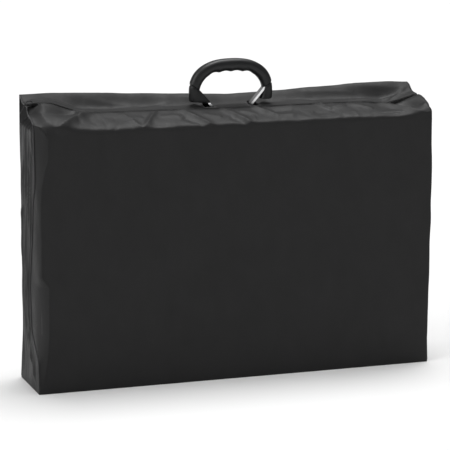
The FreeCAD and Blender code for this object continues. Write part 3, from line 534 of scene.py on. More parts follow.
def bevelled_plate(outline: Sequence[tuple[float, float]], low: float, high: float,
                   bevel: float) -> tuple[np.ndarray, list]:
    """Raise an outline into a plate whose rims are eased.

    Args:
        outline: The corners, in order, on a flat plane.
        low: Where the plate starts above the plane.
        high: Where it ends.
        bevel: How far the rims are eased.

    Returns:
        The plate's points and faces.
    """
    flat = np.array(outline, float)
    middle = flat.mean(0)
    shrink = 1 - bevel / np.linalg.norm(flat - middle, axis=1).mean()
    inner = middle + (flat - middle) * shrink
    levels = ((inner, low), (flat, low + bevel), (flat, high - bevel), (inner, high))
    points = np.concatenate([np.column_stack([ring, np.full(len(ring), level)]) for ring, level in levels])
    count = len(flat)
    faces = grid_faces(4, count, closed=True)
    faces += [tuple(range(count))[::-1], tuple(3 * count + index for index in range(count))]
    return points, faces


def modify(piece: bpy.types.Object, kind: str, **settings: object) -> bpy.types.Object:
    """Give a piece a modifier with these settings and return the piece."""
    modifier = piece.modifiers.new(kind.lower(), kind)
    for name, value in settings.items():
        setattr(modifier, name, value)
    return piece


def smooth_step(value: np.ndarray, low: float, high: float) -> np.ndarray:
    """Rise smoothly from 0 at low to 1 at high."""
    share = np.clip((np.asarray(value, float) - low) / (high - low), 0, 1)
    return share * share * (3 - 2 * share)


# ---------------------------------------------------------------- the carry cover


@dataclass
class TopLine:
    """The heights of the cover's top along X: of the zip, and of the crown behind it."""

    places: tuple[float, ...] = (
        -0.475, -0.44, -0.42, -0.40, -0.37, -0.345, -0.30, -0.113, 0.018, 0.105, 0.18, 0.254, 0.35, 0.392, 0.43, 0.475)
    zips: tuple[float, ...] = (
        0.651, 0.657, 0.655, 0.648, 0.637, 0.629, 0.627, 0.6245, 0.6215, 0.6220, 0.6215, 0.6215, 0.619, 0.612, 0.620, 0.632)
    crowns: tuple[float, ...] = (
        0.667, 0.667, 0.667, 0.667, 0.666, 0.665, 0.663, 0.652, 0.645, 0.646, 0.649, 0.651, 0.655, 0.655, 0.655, 0.652)

    def zip_height(self, across: np.ndarray) -> np.ndarray:
        """Return the height of the zip at places along X."""
        return self._smooth(across, self.zips)

    def crown_height(self, across: np.ndarray) -> np.ndarray:
        """Return the height of the crown at places along X."""
        return self._smooth(across, self.crowns)

    def _smooth(self, across: np.ndarray, heights: tuple[float, ...]) -> np.ndarray:
        """Return heights blended over a short stretch, so that no corner shows."""
        across = np.asarray(across, float)
        steps = np.linspace(-0.014, 0.014, 9)
        weights = np.exp(-(steps / 0.008) ** 2)
        return sum(
            weight * np.interp(across + step, self.places, heights) for step, weight in zip(steps, weights)
        ) / weights.sum()


@dataclass
class Corner:
    """One upright corner of the cover: how far the flat face stops short of the end, and where the seam runs."""

    heights: tuple[float, ...]
    insets: tuple[float, ...]
    bend_out: tuple[float, ...]
    bend_deep: tuple[float, ...]
    seams: tuple[float, ...]
    half_length: float = 0.475
    half_depth: float = 0.085

    def inset(self, height: np.ndarray) -> np.ndarray:
        """Return how far in from the end the flat face stops at these heights."""
        return np.interp(height, self.heights, self.insets)

    def seam(self, height: np.ndarray) -> np.ndarray:
        """Return how far from the middle plane the seam runs at these heights."""
        return np.interp(height, self.heights, self.seams)

    def outline(self, height: np.ndarray, share: np.ndarray) -> tuple[np.ndarray, np.ndarray]:
        """Follow the corner from the flat face to the seam.

        Args:
            height: Heights above the floor.
            share: How far round the corner, 0 at the face and 1 at the seam.

        Returns:
            The distances from the middle along the cover and across it.
        """
        bend_out = np.interp(height, self.heights, self.bend_out)
        bend_deep = np.interp(height, self.heights, self.bend_deep)
        near, middle, far = (1 - share) ** 2, 2 * share * (1 - share), share ** 2
        along = near * (self.half_length - self.inset(height)) + middle * (self.half_length - bend_out)
        across = near * self.half_depth + middle * bend_deep + far * self.seam(height)
        return along + far * self.half_length, across


LEFT_FRONT = Corner(
    heights=(0.0, 0.03, 0.075, 0.108, 0.137, 0.248, 0.27, 0.34, 0.436, 0.475, 0.515, 0.54, 0.70),
    insets=(0.006, 0.010, 0.018, 0.022, 0.024, 0.025, 0.009, 0.009, 0.009, 0.011, 0.019, 0.027, 0.027),
    bend_out=(0.0, 0.0, -0.001, -0.002, -0.003, -0.004, -0.002, -0.002, -0.001, 0.0015, 0.0075, 0.0125, 0.0135),
    bend_deep=(0.085, 0.083, 0.077, 0.073, 0.070, 0.070, 0.081, 0.081, 0.081, 0.079, 0.0780, 0.0780, 0.0780),
    seams=(0.083, 0.082, 0.078, 0.047, 0.020, 0.012, 0.018, 0.036, 0.050, 0.066, 0.068, 0.066, 0.062),
)
RIGHT_FRONT = Corner(
    heights=(0.0, 0.06, 0.20, 0.42, 0.55, 0.70),
    insets=(0.004, 0.006, 0.002, -0.001, 0.000, 0.008),
    bend_out=(0.0, -0.0030, -0.0070, -0.0100, -0.0090, -0.0035),
    bend_deep=(0.085, 0.0855, 0.0860, 0.0865, 0.0860, 0.0850),
    seams=(0.083, 0.078, 0.072, 0.070, 0.072, 0.074),
)
PLAIN_CORNER = Corner(
    heights=(0.0, 0.04, 0.12, 0.30, 0.48, 0.57, 0.70),
    insets=(0.005, 0.012, 0.016, 0.012, 0.014, 0.020, 0.020),
    bend_out=(0.0, -0.0005, -0.0005, -0.001, -0.0005, 0.0, 0.0),
    bend_deep=(0.085, 0.0848, 0.0845, 0.0855, 0.0845, 0.084, 0.084),
    seams=(0.083, 0.075, 0.058, 0.050, 0.054, 0.060, 0.060),
)


@dataclass(frozen=True)
class Fold:
    """One crease or ridge in cloth, as a line on a flat pattern."""

    start: tuple[float, float]
    end: tuple[float, float]
    width: float
    height: float

    def lift(self, first: np.ndarray, second: np.ndarray) -> np.ndarray:
        """Return how far the fold lifts the cloth at places on the pattern."""
        origin, line = np.array(self.start), np.array(self.end) - np.array(self.start)
        length = float(np.linalg.norm(line))
        direction = line / length
        offset_first, offset_second = first - origin[0], second - origin[1]
        along = (offset_first * direction[0] + offset_second * direction[1]) / length
        across = offset_first * direction[1] - offset_second * direction[0]
        reach = np.clip(1 - (2 * np.clip(along, -0.3, 1.3) - 1) ** 2, 0, 1) ** 0.6
        return self.height * reach * np.exp(-np.abs(across / self.width) ** 1.35)


def lifted(folds: Iterable[Fold], first: np.ndarray, second: np.ndarray) -> np.ndarray:
    """Return the lift of several folds together."""
    return sum((crease.lift(first, second) for crease in folds), np.zeros(np.broadcast(first, second).shape))


def ripple(first: np.ndarray, second: np.ndarray, scale: tuple[float, float], seed: float) -> np.ndarray:
    """Return smooth seeded noise, from about -1 to 1, over a grid of places."""
    pairs = np.stack(np.broadcast_arrays(first * scale[0], second * scale[1]), -1)
    flat = pairs.reshape(-1, 2)
    values = [noise.noise(Vector((float(a), float(b), seed))) for a, b in flat]
    return np.array(values).reshape(pairs.shape[:-1])


def soft_line(corners: Sequence[Sequence[float]], count: int, rounds: int = 3) -> np.ndarray:
    """Round a line's corners by cutting them, and space points evenly along it.

    Args:
        corners: The line's corners.
        count: How many points to return.
        rounds: How many times the corners are cut.

    Returns:
        The points.
    """
    line = np.array(corners, float)
    for _ in range(rounds):
        early, late = line[:-1] * 0.75 + line[1:] * 0.25, line[:-1] * 0.25 + line[1:] * 0.75
        inner = np.stack([early, late], 1).reshape(-1, line.shape[1])
        line = np.concatenate([line[:1], inner, line[-1:]])
    steps = np.concatenate([[0.0], np.cumsum(np.linalg.norm(np.diff(line, axis=0), axis=1))])
    places = np.linspace(0, steps[-1], count)
    return np.stack([np.interp(places, steps, line[:, axis]) for axis in range(line.shape[1])], 1)


@dataclass
class CarryCover:
    """The zipped cloth cover: front and rear panels, both end gussets, seams and handle openings."""

    top: TopLine = field(default_factory=TopLine)
    half_length: float = 0.475
    half_depth: float = 0.085
    crease: float = 0.588
    zip_gap: float = 0.0055
    thickness: float = 0.0013
    shoulder_width: float = 0.105
    crown_depth: float = 0.062
    across_count: int = 320
    face_count: int = 96
    shoulder_count: int = 34
    corner_count: int = 12
    crisp_angle: float = math.radians(19.0)
    pad_flat: float = 0.062
    pad_round: float = 0.018
    pad_top: float = 0.586
    pad_clear: float = 0.0028
    handle_middle: float = 0.018
    slot_span: tuple[float, float] = (0.044, 0.066)
    slot_depth: tuple[float, float] = (0.010, 0.040)

    def build(self) -> list[bpy.types.Object]:
        """Make every cloth piece of the cover.

        Returns:
            The pieces.
        """
        front, rear = self.front_panel(), self.rear_panel()
        left, right = self.gusset(-1), self.gusset(1)
        bindings, piping, stitches = self.bindings(), self.piping(), self.stitching()
        for piece, node in (
            (front, "cover_front_panel"), (rear, "cover_rear_panel"), (left, "cover_left_gusset"),
            (right, "cover_right_gusset"), (bindings, "cover_handle_bindings"),
        ):
            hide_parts(node)
        for piece in (front, rear, left, right):
            modify(piece, "SOLIDIFY", thickness=self.thickness, offset=-1.0)
        pieces = [front, rear, left, right, bindings, piping, stitches]
        for piece in pieces:
            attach(piece, "root")
            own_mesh(piece)
            LOG.info("cover: %s, %d faces", piece.name, len(piece.data.polygons))
        return pieces

    # -- the shape of the top

    def shoulder(self, across: np.ndarray, share: np.ndarray) -> tuple[np.ndarray, np.ndarray]:
        """Follow the front shoulder from the crease to the zip.

        Args:
            across: Places along the cover.
            share: How far from the crease to the zip.

        Returns:
            The depths and heights.
        """
        profile = soft_line(
            ((0, 0), (0.0, 0.12), (0.012, 0.30), (0.06, 0.42), (0.22, 0.58), (0.55, 0.80), (0.84, 1.03),
             (0.95, 1.05), (1.0, 0.93)), 80)
        steps = np.linspace(0, 1, len(profile))
        run, rise = np.interp(share, steps, profile[:, 0]), np.interp(share, steps, profile[:, 1])
        depth = -self.half_depth + (self.half_depth - self.zip_gap) * run
        return depth, self.crease + (self.top.zip_height(across) - self.crease) * rise

    def over_the_pad(self, depth: np.ndarray) -> np.ndarray:
        """Return the lowest height at which cloth clears the padding inside, at these depths."""
        out = np.clip(np.abs(depth) - self.pad_flat, 0, self.pad_round)
        return self.pad_top + np.sqrt(self.pad_round ** 2 - out ** 2) + self.pad_clear

    def shoulder_folds(self) -> list[Fold]:
        """Return the creases of the front shoulder, on a pattern in metres: along the cover, and up from the crease."""
        folds = [
            Fold((-0.430, 0.014), (-0.330, 0.096), 0.010, 0.0075),
            Fold((-0.455, 0.022), (-0.395, 0.020), 0.008, 0.0030),
            Fold((-0.450, 0.062), (-0.365, 0.086), 0.018, -0.0075),
            Fold((-0.262, 0.088), (-0.226, 0.016), 0.008, 0.0040),
            Fold((-0.228, 0.014), (-0.176, 0.092), 0.007, 0.0050),
            Fold((-0.246, 0.060), (-0.214, 0.064), 0.010, 0.0026),
            Fold((-0.205, 0.030), (-0.150, 0.026), 0.010, -0.0030),
            Fold((-0.175, 0.066), (-0.118, 0.064), 0.009, 0.0024),
            Fold((-0.120, 0.094), (-0.058, 0.016), 0.0075, 0.0052),
            Fold((-0.118, 0.058), (-0.080, 0.018), 0.009, -0.0032),
            Fold((-0.070, 0.070), (-0.030, 0.050), 0.008, 0.0024),
            Fold((-0.022, 0.094), (0.040, 0.016), 0.0075, 0.0054),
            Fold((-0.012, 0.052), (0.022, 0.018), 0.009, -0.0030),
            Fold((0.020, 0.080), (0.060, 0.056), 0.007, 0.0026),
            Fold((0.054, 0.098), (0.106, 0.044), 0.0075, 0.0050),
            Fold((0.095, 0.048), (0.160, 0.046), 0.009, 0.0036),
            Fold((0.090, 0.074), (0.150, 0.072), 0.010, -0.0030),
            Fold((0.214, 0.102), (0.240, 0.062), 0.006, 0.0046),
            Fold((0.236, 0.068), (0.285, 0.082), 0.007, 0.0034),
            Fold((0.196, 0.060), (0.226, 0.036), 0.009, -0.0028),
            Fold((0.290, 0.088), (0.345, 0.060), 0.009, 0.0034),
            Fold((0.372, 0.100), (0.474, 0.004), 0.010, 0.0060),
            Fold((0.405, 0.098), (0.470, 0.050), 0.014, -0.0070),
        ]
        dice = np.random.default_rng(11)
        for middle in np.linspace(-0.44, 0.36, 46):
            low, lean = dice.uniform(0.006, 0.05), dice.uniform(-0.03, 0.03)
            start = (middle + dice.uniform(-0.01, 0.01), low)
            end = (start[0] + lean, low + dice.uniform(0.02, 0.05))
            folds.append(Fold(start, end, dice.uniform(0.0035, 0.007), dice.uniform(-0.0013, 0.0015)))
        return folds

    def shoulder_lift(self, across: np.ndarray, share: np.ndarray) -> np.ndarray:
        """Return how far creases lift the shoulder at places along it and shares up it."""
        up = share * self.shoulder_width
        lift = lifted(self.shoulder_folds(), across, up) * 1.55
        lift = lift + ripple(across, up, (24.0, 30.0), 2.0) * 0.0016 + ripple(across, up, (70.0, 60.0), 12.0) * 0.0006
        return lift * smooth_step(share, 0.0, 0.12) * (1 - smooth_step(share, 0.93, 1.0) * 0.75)

    def ridge_line(self, end: int, side: int) -> np.ndarray:
        """Return the line where an end of the cover meets its front or rear top.

        Args:
            end: -1 for the left and 1 for the right.
            side: -1 for the front and 1 for the rear.

        Returns:
            Pairs of depth and height, from the zip outwards.
        """
        place = np.array([end * self.half_length])
        height = float(self.top.zip_height(place)[0])
        if side > 0:
            depths = np.linspace(self.zip_gap, self.crown_depth, 20)
            top = np.stack([depths, self.rear_top(np.full(20, place[0]), depths)], 1)
            fall = np.array([self.half_depth, self.crease + 0.002]) - top[-1]
            return np.concatenate([top, top[-1] + fall * self.bend()])
        shapes = {
            -1: ((0.0055, height), (0.009, 0.641), (0.015, 0.633), (0.038, 0.6285), (0.062, 0.6175), (0.0745, 0.614),
                 (0.080, 0.606), (0.084, 0.598), (self.half_depth, self.crease)),
            1: ((0.0055, height), (0.020, 0.6315), (0.040, 0.6275), (0.062, 0.620), (0.076, 0.612), (0.083, 0.603),
                (self.half_depth, self.crease)),
        }
        return np.array(shapes[end])

    def ridge(self, end: int, side: int, depth: np.ndarray) -> np.ndarray:
        """Return the heights of the ridge line over one end of the cover at these depths."""
        line = self.ridge_line(end, side)
        return np.interp(np.abs(depth), line[:, 0], line[:, 1])

    def ridge_reach(self, end: int, side: int, depth: np.ndarray) -> np.ndarray:
        """Return how far along the cover the ridge line lies at these depths."""
        corner, share = self.corner(end, side), np.linspace(0, 1, 60)
        along, across = corner.outline(np.full(60, self.crease), share)
        return np.interp(np.abs(depth), across[::-1], along[::-1])

    def bend(self) -> np.ndarray:
        """Return the shares of depth and height along the rear top corner's bend."""
        return soft_line(((0, 0), (0.42, 0.03), (0.80, 0.14), (0.98, 0.42), (1.0, 0.75), (1, 1)), 16)[1:]

    def corner(self, end: int, side: int) -> Corner:
        """Return the corner at one end and side."""
        return {(-1, -1): LEFT_FRONT, (1, -1): RIGHT_FRONT}.get((end, side), PLAIN_CORNER)

    # -- panels

    def face_grid(self, side: int, share: np.ndarray, heights: np.ndarray) -> np.ndarray:
        """Return the points of a flat face of the cover.

        Args:
            side: -1 for the front and 1 for the rear.
            share: Places along the face, from -1 to 1.
            heights: Heights above the floor.

        Returns:
            The points, by height and place.
        """
        rows, columns = heights[:, None], share[None, :]
        left = -self.half_length + self.corner(-1, side).inset(rows)
        right = self.half_length - self.corner(1, side).inset(rows)
        across = left + (right - left) * (columns + 1) / 2
        edge = smooth_step(np.abs(columns), 0.86, 1.0)
        rows = np.broadcast_to(rows, across.shape)
        waves = ripple(across, rows, (5.0, 4.0), 3.0) * 0.0010 + ripple(across, rows, (30.0, 9.0), 7.0) * edge * 0.0007
        high = smooth_step(rows, 0.50, 0.60) * ripple(across, rows, (26.0, 14.0), 5.0) * 0.0008
        out = (waves + high) * smooth_step(rows, 0.0, 0.05) * (1 - smooth_step(np.abs(columns), 0.985, 1.0))
        return np.stack([across, side * (self.half_depth + out), rows], -1)

    def corner_grid(self, end: int, side: int, heights: np.ndarray, top: float) -> np.ndarray:
        """Return the points of a corner strip, from the face to the seam.

        Args:
            end: -1 for the left and 1 for the right.
            side: -1 for the front and 1 for the rear.
            heights: Heights of the face's rows.
            top: The height of the face's top row.

        Returns:
            The points, by height and share round the corner.
        """
        corner, share = self.corner(end, side), np.linspace(0, 1, self.corner_count)[None, :]
        rows = np.broadcast_to(heights[:, None], (len(heights), self.corner_count))
        _, depth = corner.outline(np.full_like(share, self.crease), share)
        crown = self.ridge(end, side, depth)
        rows = rows * (1 + (crown / top - 1) * smooth_step(rows, top * 0.7, top))
        along, across = corner.outline(rows, np.broadcast_to(share, rows.shape))
        strength = np.sin(np.pi * share) * smooth_step(rows, 0.0, 0.06)
        waves = ripple(share * 0.05, rows, (40.0, 16.0), 9.0 + end) * 0.0016 * strength
        return np.stack([end * (along + np.maximum(waves, -0.0008)), side * across, rows], -1)

    def assembled(self, name: str, grids: Sequence[np.ndarray], flips: Sequence[bool],
                  skip: Callable[[np.ndarray], np.ndarray] | None = None) -> bpy.types.Object:
        """Join grids of points into one cloth panel.

        Args:
            name: The panel's name.
            grids: The grids, each by row and column.
            flips: Which of them are wound the other way.
            skip: Says which face middles are cut away.

        Returns:
            The panel.
        """
        parts = []
        for grid, flip in zip(grids, flips):
            faces = grid_faces(grid.shape[0], grid.shape[1])
            if flip:
                faces = [face[::-1] for face in faces]
            points = grid.reshape(-1, 3)
            if skip is not None:
                middles = points[np.array(faces)].mean(1)
                faces = [face for face, cut in zip(faces, skip(middles)) if not cut]
            parts.append((points, faces))
        piece = mesh_piece(name, *joined(parts), COVER_CLOTH)
        shape = bmesh.new()
        shape.from_mesh(piece.data)
        bmesh.ops.remove_doubles(shape, verts=shape.verts, dist=0.0002)
        for edge in shape.edges:
            edge.smooth = edge.calc_face_angle(0.0) < self.crisp_angle
        loose = [vertex for vertex in shape.verts if not vertex.link_faces]
        bmesh.ops.delete(shape, geom=loose, context="VERTS")
        shape.to_mesh(piece.data)
        shape.free()
        return piece

    def front_panel(self) -> bpy.types.Object:
        """Make the front panel: the flat face, both corner strips, and the shoulder up to the zip."""
        share = np.linspace(-1, 1, self.across_count)
        heights = np.linspace(0.0, self.crease, self.face_count)
        face = self.face_grid(-1, share, heights)
        strips = [self.corner_grid(end, -1, heights, self.crease) for end in (-1, 1)]
        climb = np.linspace(0, 1, self.shoulder_count)[:, None]
        borders = {end: self.shoulder_border(end, climb[:, 0]) for end in (-1, 1)}
        left, right = borders[-1][:, [0]], borders[1][:, [0]]
        across = left + (right - left) * (share[None, :] + 1) / 2
        shares = np.broadcast_to(climb, across.shape)
        depth, height = self.shoulder(across, shares)
        lift = self.shoulder_lift(across, shares)
        face_out = face[-1, :, 1] + self.half_depth
        depth = depth - lift * 0.4 * (1 - shares) + face_out[None, :] * (1 - smooth_step(climb, 0.0, 0.3))
        height = np.maximum(height + lift * (0.35 + 0.65 * shares), self.over_the_pad(depth))
        grid = np.stack([across, depth, height], -1)
        for column, end in ((0, -1), (-1, 1)):
            gap = borders[end] - grid[:, column]
            pinch = 1 - smooth_step(np.abs(across - across[:, [column]]), 0.0, 0.035)
            grid += gap[:, None, :] * pinch[..., None]
        grid[0] = face[-1]
        return self.assembled("front_cloth", [face, grid, strips[0], strips[1]], [False, False, True, False])

    def shoulder_border(self, end: int, shares: np.ndarray) -> np.ndarray:
        """Return the points of the shoulder's border at one end, from the crease to the zip."""
        line = self.ridge_line(end, -1)[::-1]
        dense = np.stack([np.interp(np.linspace(0, len(line) - 1, 200), np.arange(len(line)), line[:, axis])
                          for axis in (0, 1)], 1)
        steps = np.concatenate([[0.0], np.cumsum(np.linalg.norm(np.diff(dense, axis=0), axis=1))])
        depth, height = (np.interp(shares * steps[-1], steps, dense[:, axis]) for axis in (0, 1))
        return np.stack([end * self.ridge_reach(end, -1, depth), -depth, height], 1)

    def rear_top(self, across: np.ndarray, depth: np.ndarray) -> np.ndarray:
        """Return the height of the rear panel's top at places along and across the cover."""
        zips, crowns = self.top.zip_height(across), self.top.crown_height(across)
        share = np.clip((depth - self.zip_gap) / (self.crown_depth - self.zip_gap), 0, 1)
        rise = 0.2 * share + 0.8 * smooth_step(share, 0.42, 1.05)
        return zips + (crowns - zips) * rise

    def top_folds(self) -> list[Fold]:
        """Return the creases of the rear panel's top."""
        folds = [
            Fold((-0.47, 0.020), (-0.36, 0.034), 0.006, 0.0025),
            Fold((-0.44, 0.040), (-0.33, 0.012), 0.005, 0.0022),
            Fold((-0.33, 0.050), (-0.20, 0.030), 0.008, 0.0025),
            Fold((-0.20, 0.014), (-0.12, 0.044), 0.007, 0.0022),
            Fold((0.11, 0.040), (0.24, 0.016), 0.008, 0.0026),
            Fold((0.20, 0.052), (0.33, 0.044), 0.007, 0.0024),
            Fold((0.30, 0.014), (0.43, 0.030), 0.007, 0.0030),
            Fold((0.34, 0.055), (0.46, 0.046), 0.008, 0.0030),
            Fold((0.41, 0.012), (0.468, 0.050), 0.006, 0.0040),
            Fold((-0.10, 0.052), (-0.03, 0.048), 0.006, 0.0016),
        ]
        dice = np.random.default_rng(23)
        for middle in np.linspace(-0.45, 0.45, 30):
            start = (middle + dice.uniform(-0.012, 0.012), dice.uniform(0.008, 0.05))
            end = (start[0] + dice.uniform(-0.03, 0.03), start[1] + dice.uniform(-0.02, 0.02) + 0.004)
            folds.append(Fold(start, end, dice.uniform(0.003, 0.006), dice.uniform(-0.0009, 0.0012)))
        return folds

    def rear_panel(self) -> bpy.types.Object:
        """Make the rear panel: the top behind the zip with the handle's two openings, and the rear face."""
        edges = [self.handle_middle + turn * span for turn in (-1, 1) for span in self.slot_span]
        share = np.unique(np.concatenate([np.linspace(-1, 1, self.across_count), np.array(edges) / self.half_length]))
        heights = np.linspace(0.0, self.crease + 0.002, self.face_count)
        face = self.face_grid(1, share, heights)
        strips = [self.corner_grid(end, 1, heights, heights[-1]) for end in (-1, 1)]
        depths = np.unique(np.concatenate([np.linspace(self.zip_gap, self.crown_depth, 29), np.array(self.slot_depth)]))
        across = np.broadcast_to(share[None, :] * self.half_length, (len(depths), len(share)))
        rows = np.broadcast_to(depths[:, None], across.shape)
        lift = lifted(self.top_folds(), across, rows) + ripple(across, rows, (16.0, 34.0), 4.0) * 0.0012
        lift = lift * smooth_step(rows, self.zip_gap, 0.016)
        top = np.stack([across, rows, self.rear_top(across, rows) + lift], -1)
        turn = np.linspace(0, 1, 16)[1:, None]
        begin, finish = top[-1], face[-1]
        bend = self.bend()
        corner = begin[None] + (finish - begin)[None] * np.stack([bend[:, 0], bend[:, 0], bend[:, 1]], -1)[:, None, :]
        waves = ripple(corner[..., 0], turn * 0.04 + 0 * corner[..., 0], (20.0, 30.0), 6.0) * 0.002
        corner[..., 2] += waves * np.sin(np.pi * turn)
        roof = np.concatenate([top, corner])
        for column, end in ((0, -1), (-1, 1)):
            depth = roof[:, column, 1]
            border = np.stack([end * self.ridge_reach(end, 1, depth), depth, self.ridge(end, 1, depth)], 1)
            pinch = 1 - smooth_step(np.abs(roof[..., 0] - roof[:, [column], 0]), 0.0, 0.03)
            roof += (border - roof[:, column])[:, None, :] * pinch[..., None]
        roof[-1] = face[-1]

        def cut(middles: np.ndarray) -> np.ndarray:
            """Say which faces lie in the handle's openings."""
            span = np.abs(middles[:, 0] - self.handle_middle)
            return ((span > self.slot_span[0]) & (span < self.slot_span[1])
                    & (middles[:, 1] > self.slot_depth[0]) & (middles[:, 1] < self.slot_depth[1]))

        return self.assembled("rear_cloth", [face, roof, strips[0], strips[1]], [True, True, False, True], cut)

    def gusset(self, end: int) -> bpy.types.Object:
        """Make the cloth of one end, between the two seams and under the pinched ridge."""
        rows, columns = 120, 46
        climb, turn = np.linspace(0, 1, rows)[:, None], np.linspace(-1, 1, columns)[None, :]
        crown = self.crease + 0.01
        base = climb * crown
        front, rear = self.corner(end, -1).seam(base), self.corner(end, 1).seam(base)
        depth = -front + (rear + front) * (turn + 1) / 2
        wall = np.stack([np.zeros_like(depth), depth, np.broadcast_to(base, depth.shape)], -1)
        lids = np.linspace(0, 1, 16)[1:, None]
        low = wall[-1]
        lid_depth = np.broadcast_to(low[None, :, 1], (15, columns))
        ridge = np.where(low[:, 1] < 0, self.ridge(end, -1, low[:, 1]), self.ridge(end, 1, low[:, 1]))
        lid = np.stack([np.zeros_like(lid_depth), lid_depth, crown + (ridge - crown)[None, :] * lids], -1)
        grid = np.concatenate([wall, lid])
        grid[..., 0] = end * (self.half_length + self.gusset_relief(end, grid[..., 1], grid[..., 2], ridge[None, :]))
        name = "left_end_cloth" if end < 0 else "right_end_cloth"
        return self.assembled(name, [grid], [end > 0])

    def gusset_relief(self, end: int, depth: np.ndarray, height: np.ndarray, ridge: np.ndarray) -> np.ndarray:
        """Return how far the end cloth stands out from its flat plane."""
        bulge = 0.0055 * np.exp(-((height - 0.33) / 0.13) ** 2) * np.exp(-((depth - 0.02) / 0.055) ** 2)
        hollow = -0.0035 * np.exp(-((height - 0.07) / 0.04) ** 2) * np.exp(-((depth - 0.035) / 0.03) ** 2)
        under = -0.014 * smooth_step(height, 0.598, 0.618) * smooth_step(ridge - height, 0.0, 0.014)
        folds = [
            Fold((-0.050, 0.60), (-0.030, 0.28), 0.0050, 0.0042),
            Fold((-0.020, 0.58), (-0.026, 0.36), 0.0045, 0.0036),
            Fold((0.006, 0.62), (0.000, 0.40), 0.0050, 0.0034),
            Fold((0.024, 0.56), (0.030, 0.30), 0.0050, 0.0030),
            Fold((-0.012, 0.45), (0.018, 0.16), 0.0060, 0.0034),
            Fold((-0.004, 0.30), (-0.002, 0.06), 0.0050, 0.0030),
            Fold((0.034, 0.36), (0.020, 0.08), 0.0060, 0.0034),
            Fold((0.010, 0.14), (-0.060, 0.015), 0.0060, 0.0040),
        ]
        dice = np.random.default_rng(31 + end)
        for middle in np.linspace(0.10, 0.60, 26):
            start = (dice.uniform(-0.06, 0.05), middle + dice.uniform(-0.02, 0.02))
            reach = (start[0] + dice.uniform(-0.022, 0.022), start[1] - dice.uniform(0.03, 0.11))
            folds.append(Fold(start, reach, dice.uniform(0.003, 0.006), dice.uniform(-0.0030, 0.0034)))
        relief = bulge + hollow + under + lifted(folds, depth, height)
        relief = relief + ripple(depth, height, (60.0, 12.0), 8.0 + end) * 0.0018
        rim = smooth_step(height, 0.0, 0.04) * smooth_step(ridge - height, -0.001, 0.004)
        seam_front, seam_rear = self.corner(end, -1).seam(height), self.corner(end, 1).seam(height)
        border = smooth_step(depth + seam_front, 0.0, 0.008) * smooth_step(seam_rear - depth, 0.0, 0.008)
        return np.maximum(relief, -0.0145) * rim * border

    # -- trimmings

    def seam_path(self, end: int, side: int) -> np.ndarray:
        """Return the line of one end seam, from the floor up to the ridge and along it to the zip."""
        corner = self.corner(end, side)
        heights = np.linspace(0.004, self.crease, 90)
        along, depth = corner.outline(heights, np.ones_like(heights))
        upright = np.stack([end * (along + 0.0006), side * depth, heights], 1)
        last = upright[-1, 1]
        depths = np.linspace(last, side * 0.006, 24)[1:]
        reach = end * (self.ridge_reach(end, side, depths) + 0.0006)
        over = np.stack([reach, depths, self.ridge(end, side, depths)], 1)
        return soft_line(np.concatenate([upright, over]), 160, 2)

    def piping(self) -> bpy.types.Object:
        """Make the bound cords that run along the four end seams."""
        parts = [tube(self.seam_path(end, side), 0.0016, 8) for end in (-1, 1) for side in (-1, 1)]
        return mesh_piece("seam_piping", *joined(parts), WEBBING)

    def stitch(self, start: np.ndarray, finish: np.ndarray, radius: float) -> tuple[np.ndarray, list]:
        """Return one stitch: a short thread that dips at both of its ends."""
        shares = np.array([0.0, 0.2, 0.8, 1.0])
        path = start + (finish - start) * shares[:, None]
        path[[0, -1], 2] -= radius
        return tube(path, radius, 5)

    def stitching(self) -> bpy.types.Object:
        """Make the two rows of stitches that hold the zip's tapes to the cloth."""
        parts, pitch, long = [], 0.0048, 0.0034
        for depth, rows in ((-0.0125, self.front_line), (-0.0155, self.front_line),
                            (0.0125, self.rear_line), (0.0155, self.rear_line)):
            for start in np.arange(-0.452, 0.462, pitch):
                places = np.array([start, start + long])
                heights = rows(places, depth) + 0.0004
                points = np.stack([places, np.full(2, depth), heights], 1)
                if depth > 0 and self.in_slot(float(places.mean()), depth):
                    continue
                parts.append(self.stitch(points[0], points[1], 0.0004))
        return mesh_piece("zip_stitching", *joined(parts), THREAD)

    def in_slot(self, across: float, depth: float) -> bool:
        """Say whether a place lies in or at the rim of a handle opening."""
        span, rim = abs(across - self.handle_middle), 0.006
        return (self.slot_span[0] - rim < span < self.slot_span[1] + rim
                and self.slot_depth[0] - rim < depth < self.slot_depth[1] + rim)

    def front_line(self, across: np.ndarray, depth: float) -> np.ndarray:
        """Return the height of the front shoulder along a line near the zip."""
        share = np.linspace(0.6, 1, 60)
        heights = []
        for place in across:
            depths, levels = self.shoulder(np.full(60, place), share)
            lift = self.shoulder_lift(np.full(60, place), share)
            depths, levels = depths - lift * 0.4 * (1 - share), levels + lift * (0.35 + 0.65 * share)
            levels = np.maximum(levels, self.over_the_pad(depths))
            heights.append(float(np.interp(depth, depths, levels)))
        return np.array(heights)

    def rear_line(self, across: np.ndarray, depth: float) -> np.ndarray:
        """Return the height of the rear panel's top along a line near the zip."""
        rows = np.full_like(across, depth)
        lift = lifted(self.top_folds(), across, rows) + ripple(across, rows, (16.0, 34.0), 4.0) * 0.0012
        return self.rear_top(across, rows) + lift * smooth_step(rows, self.zip_gap, 0.016)

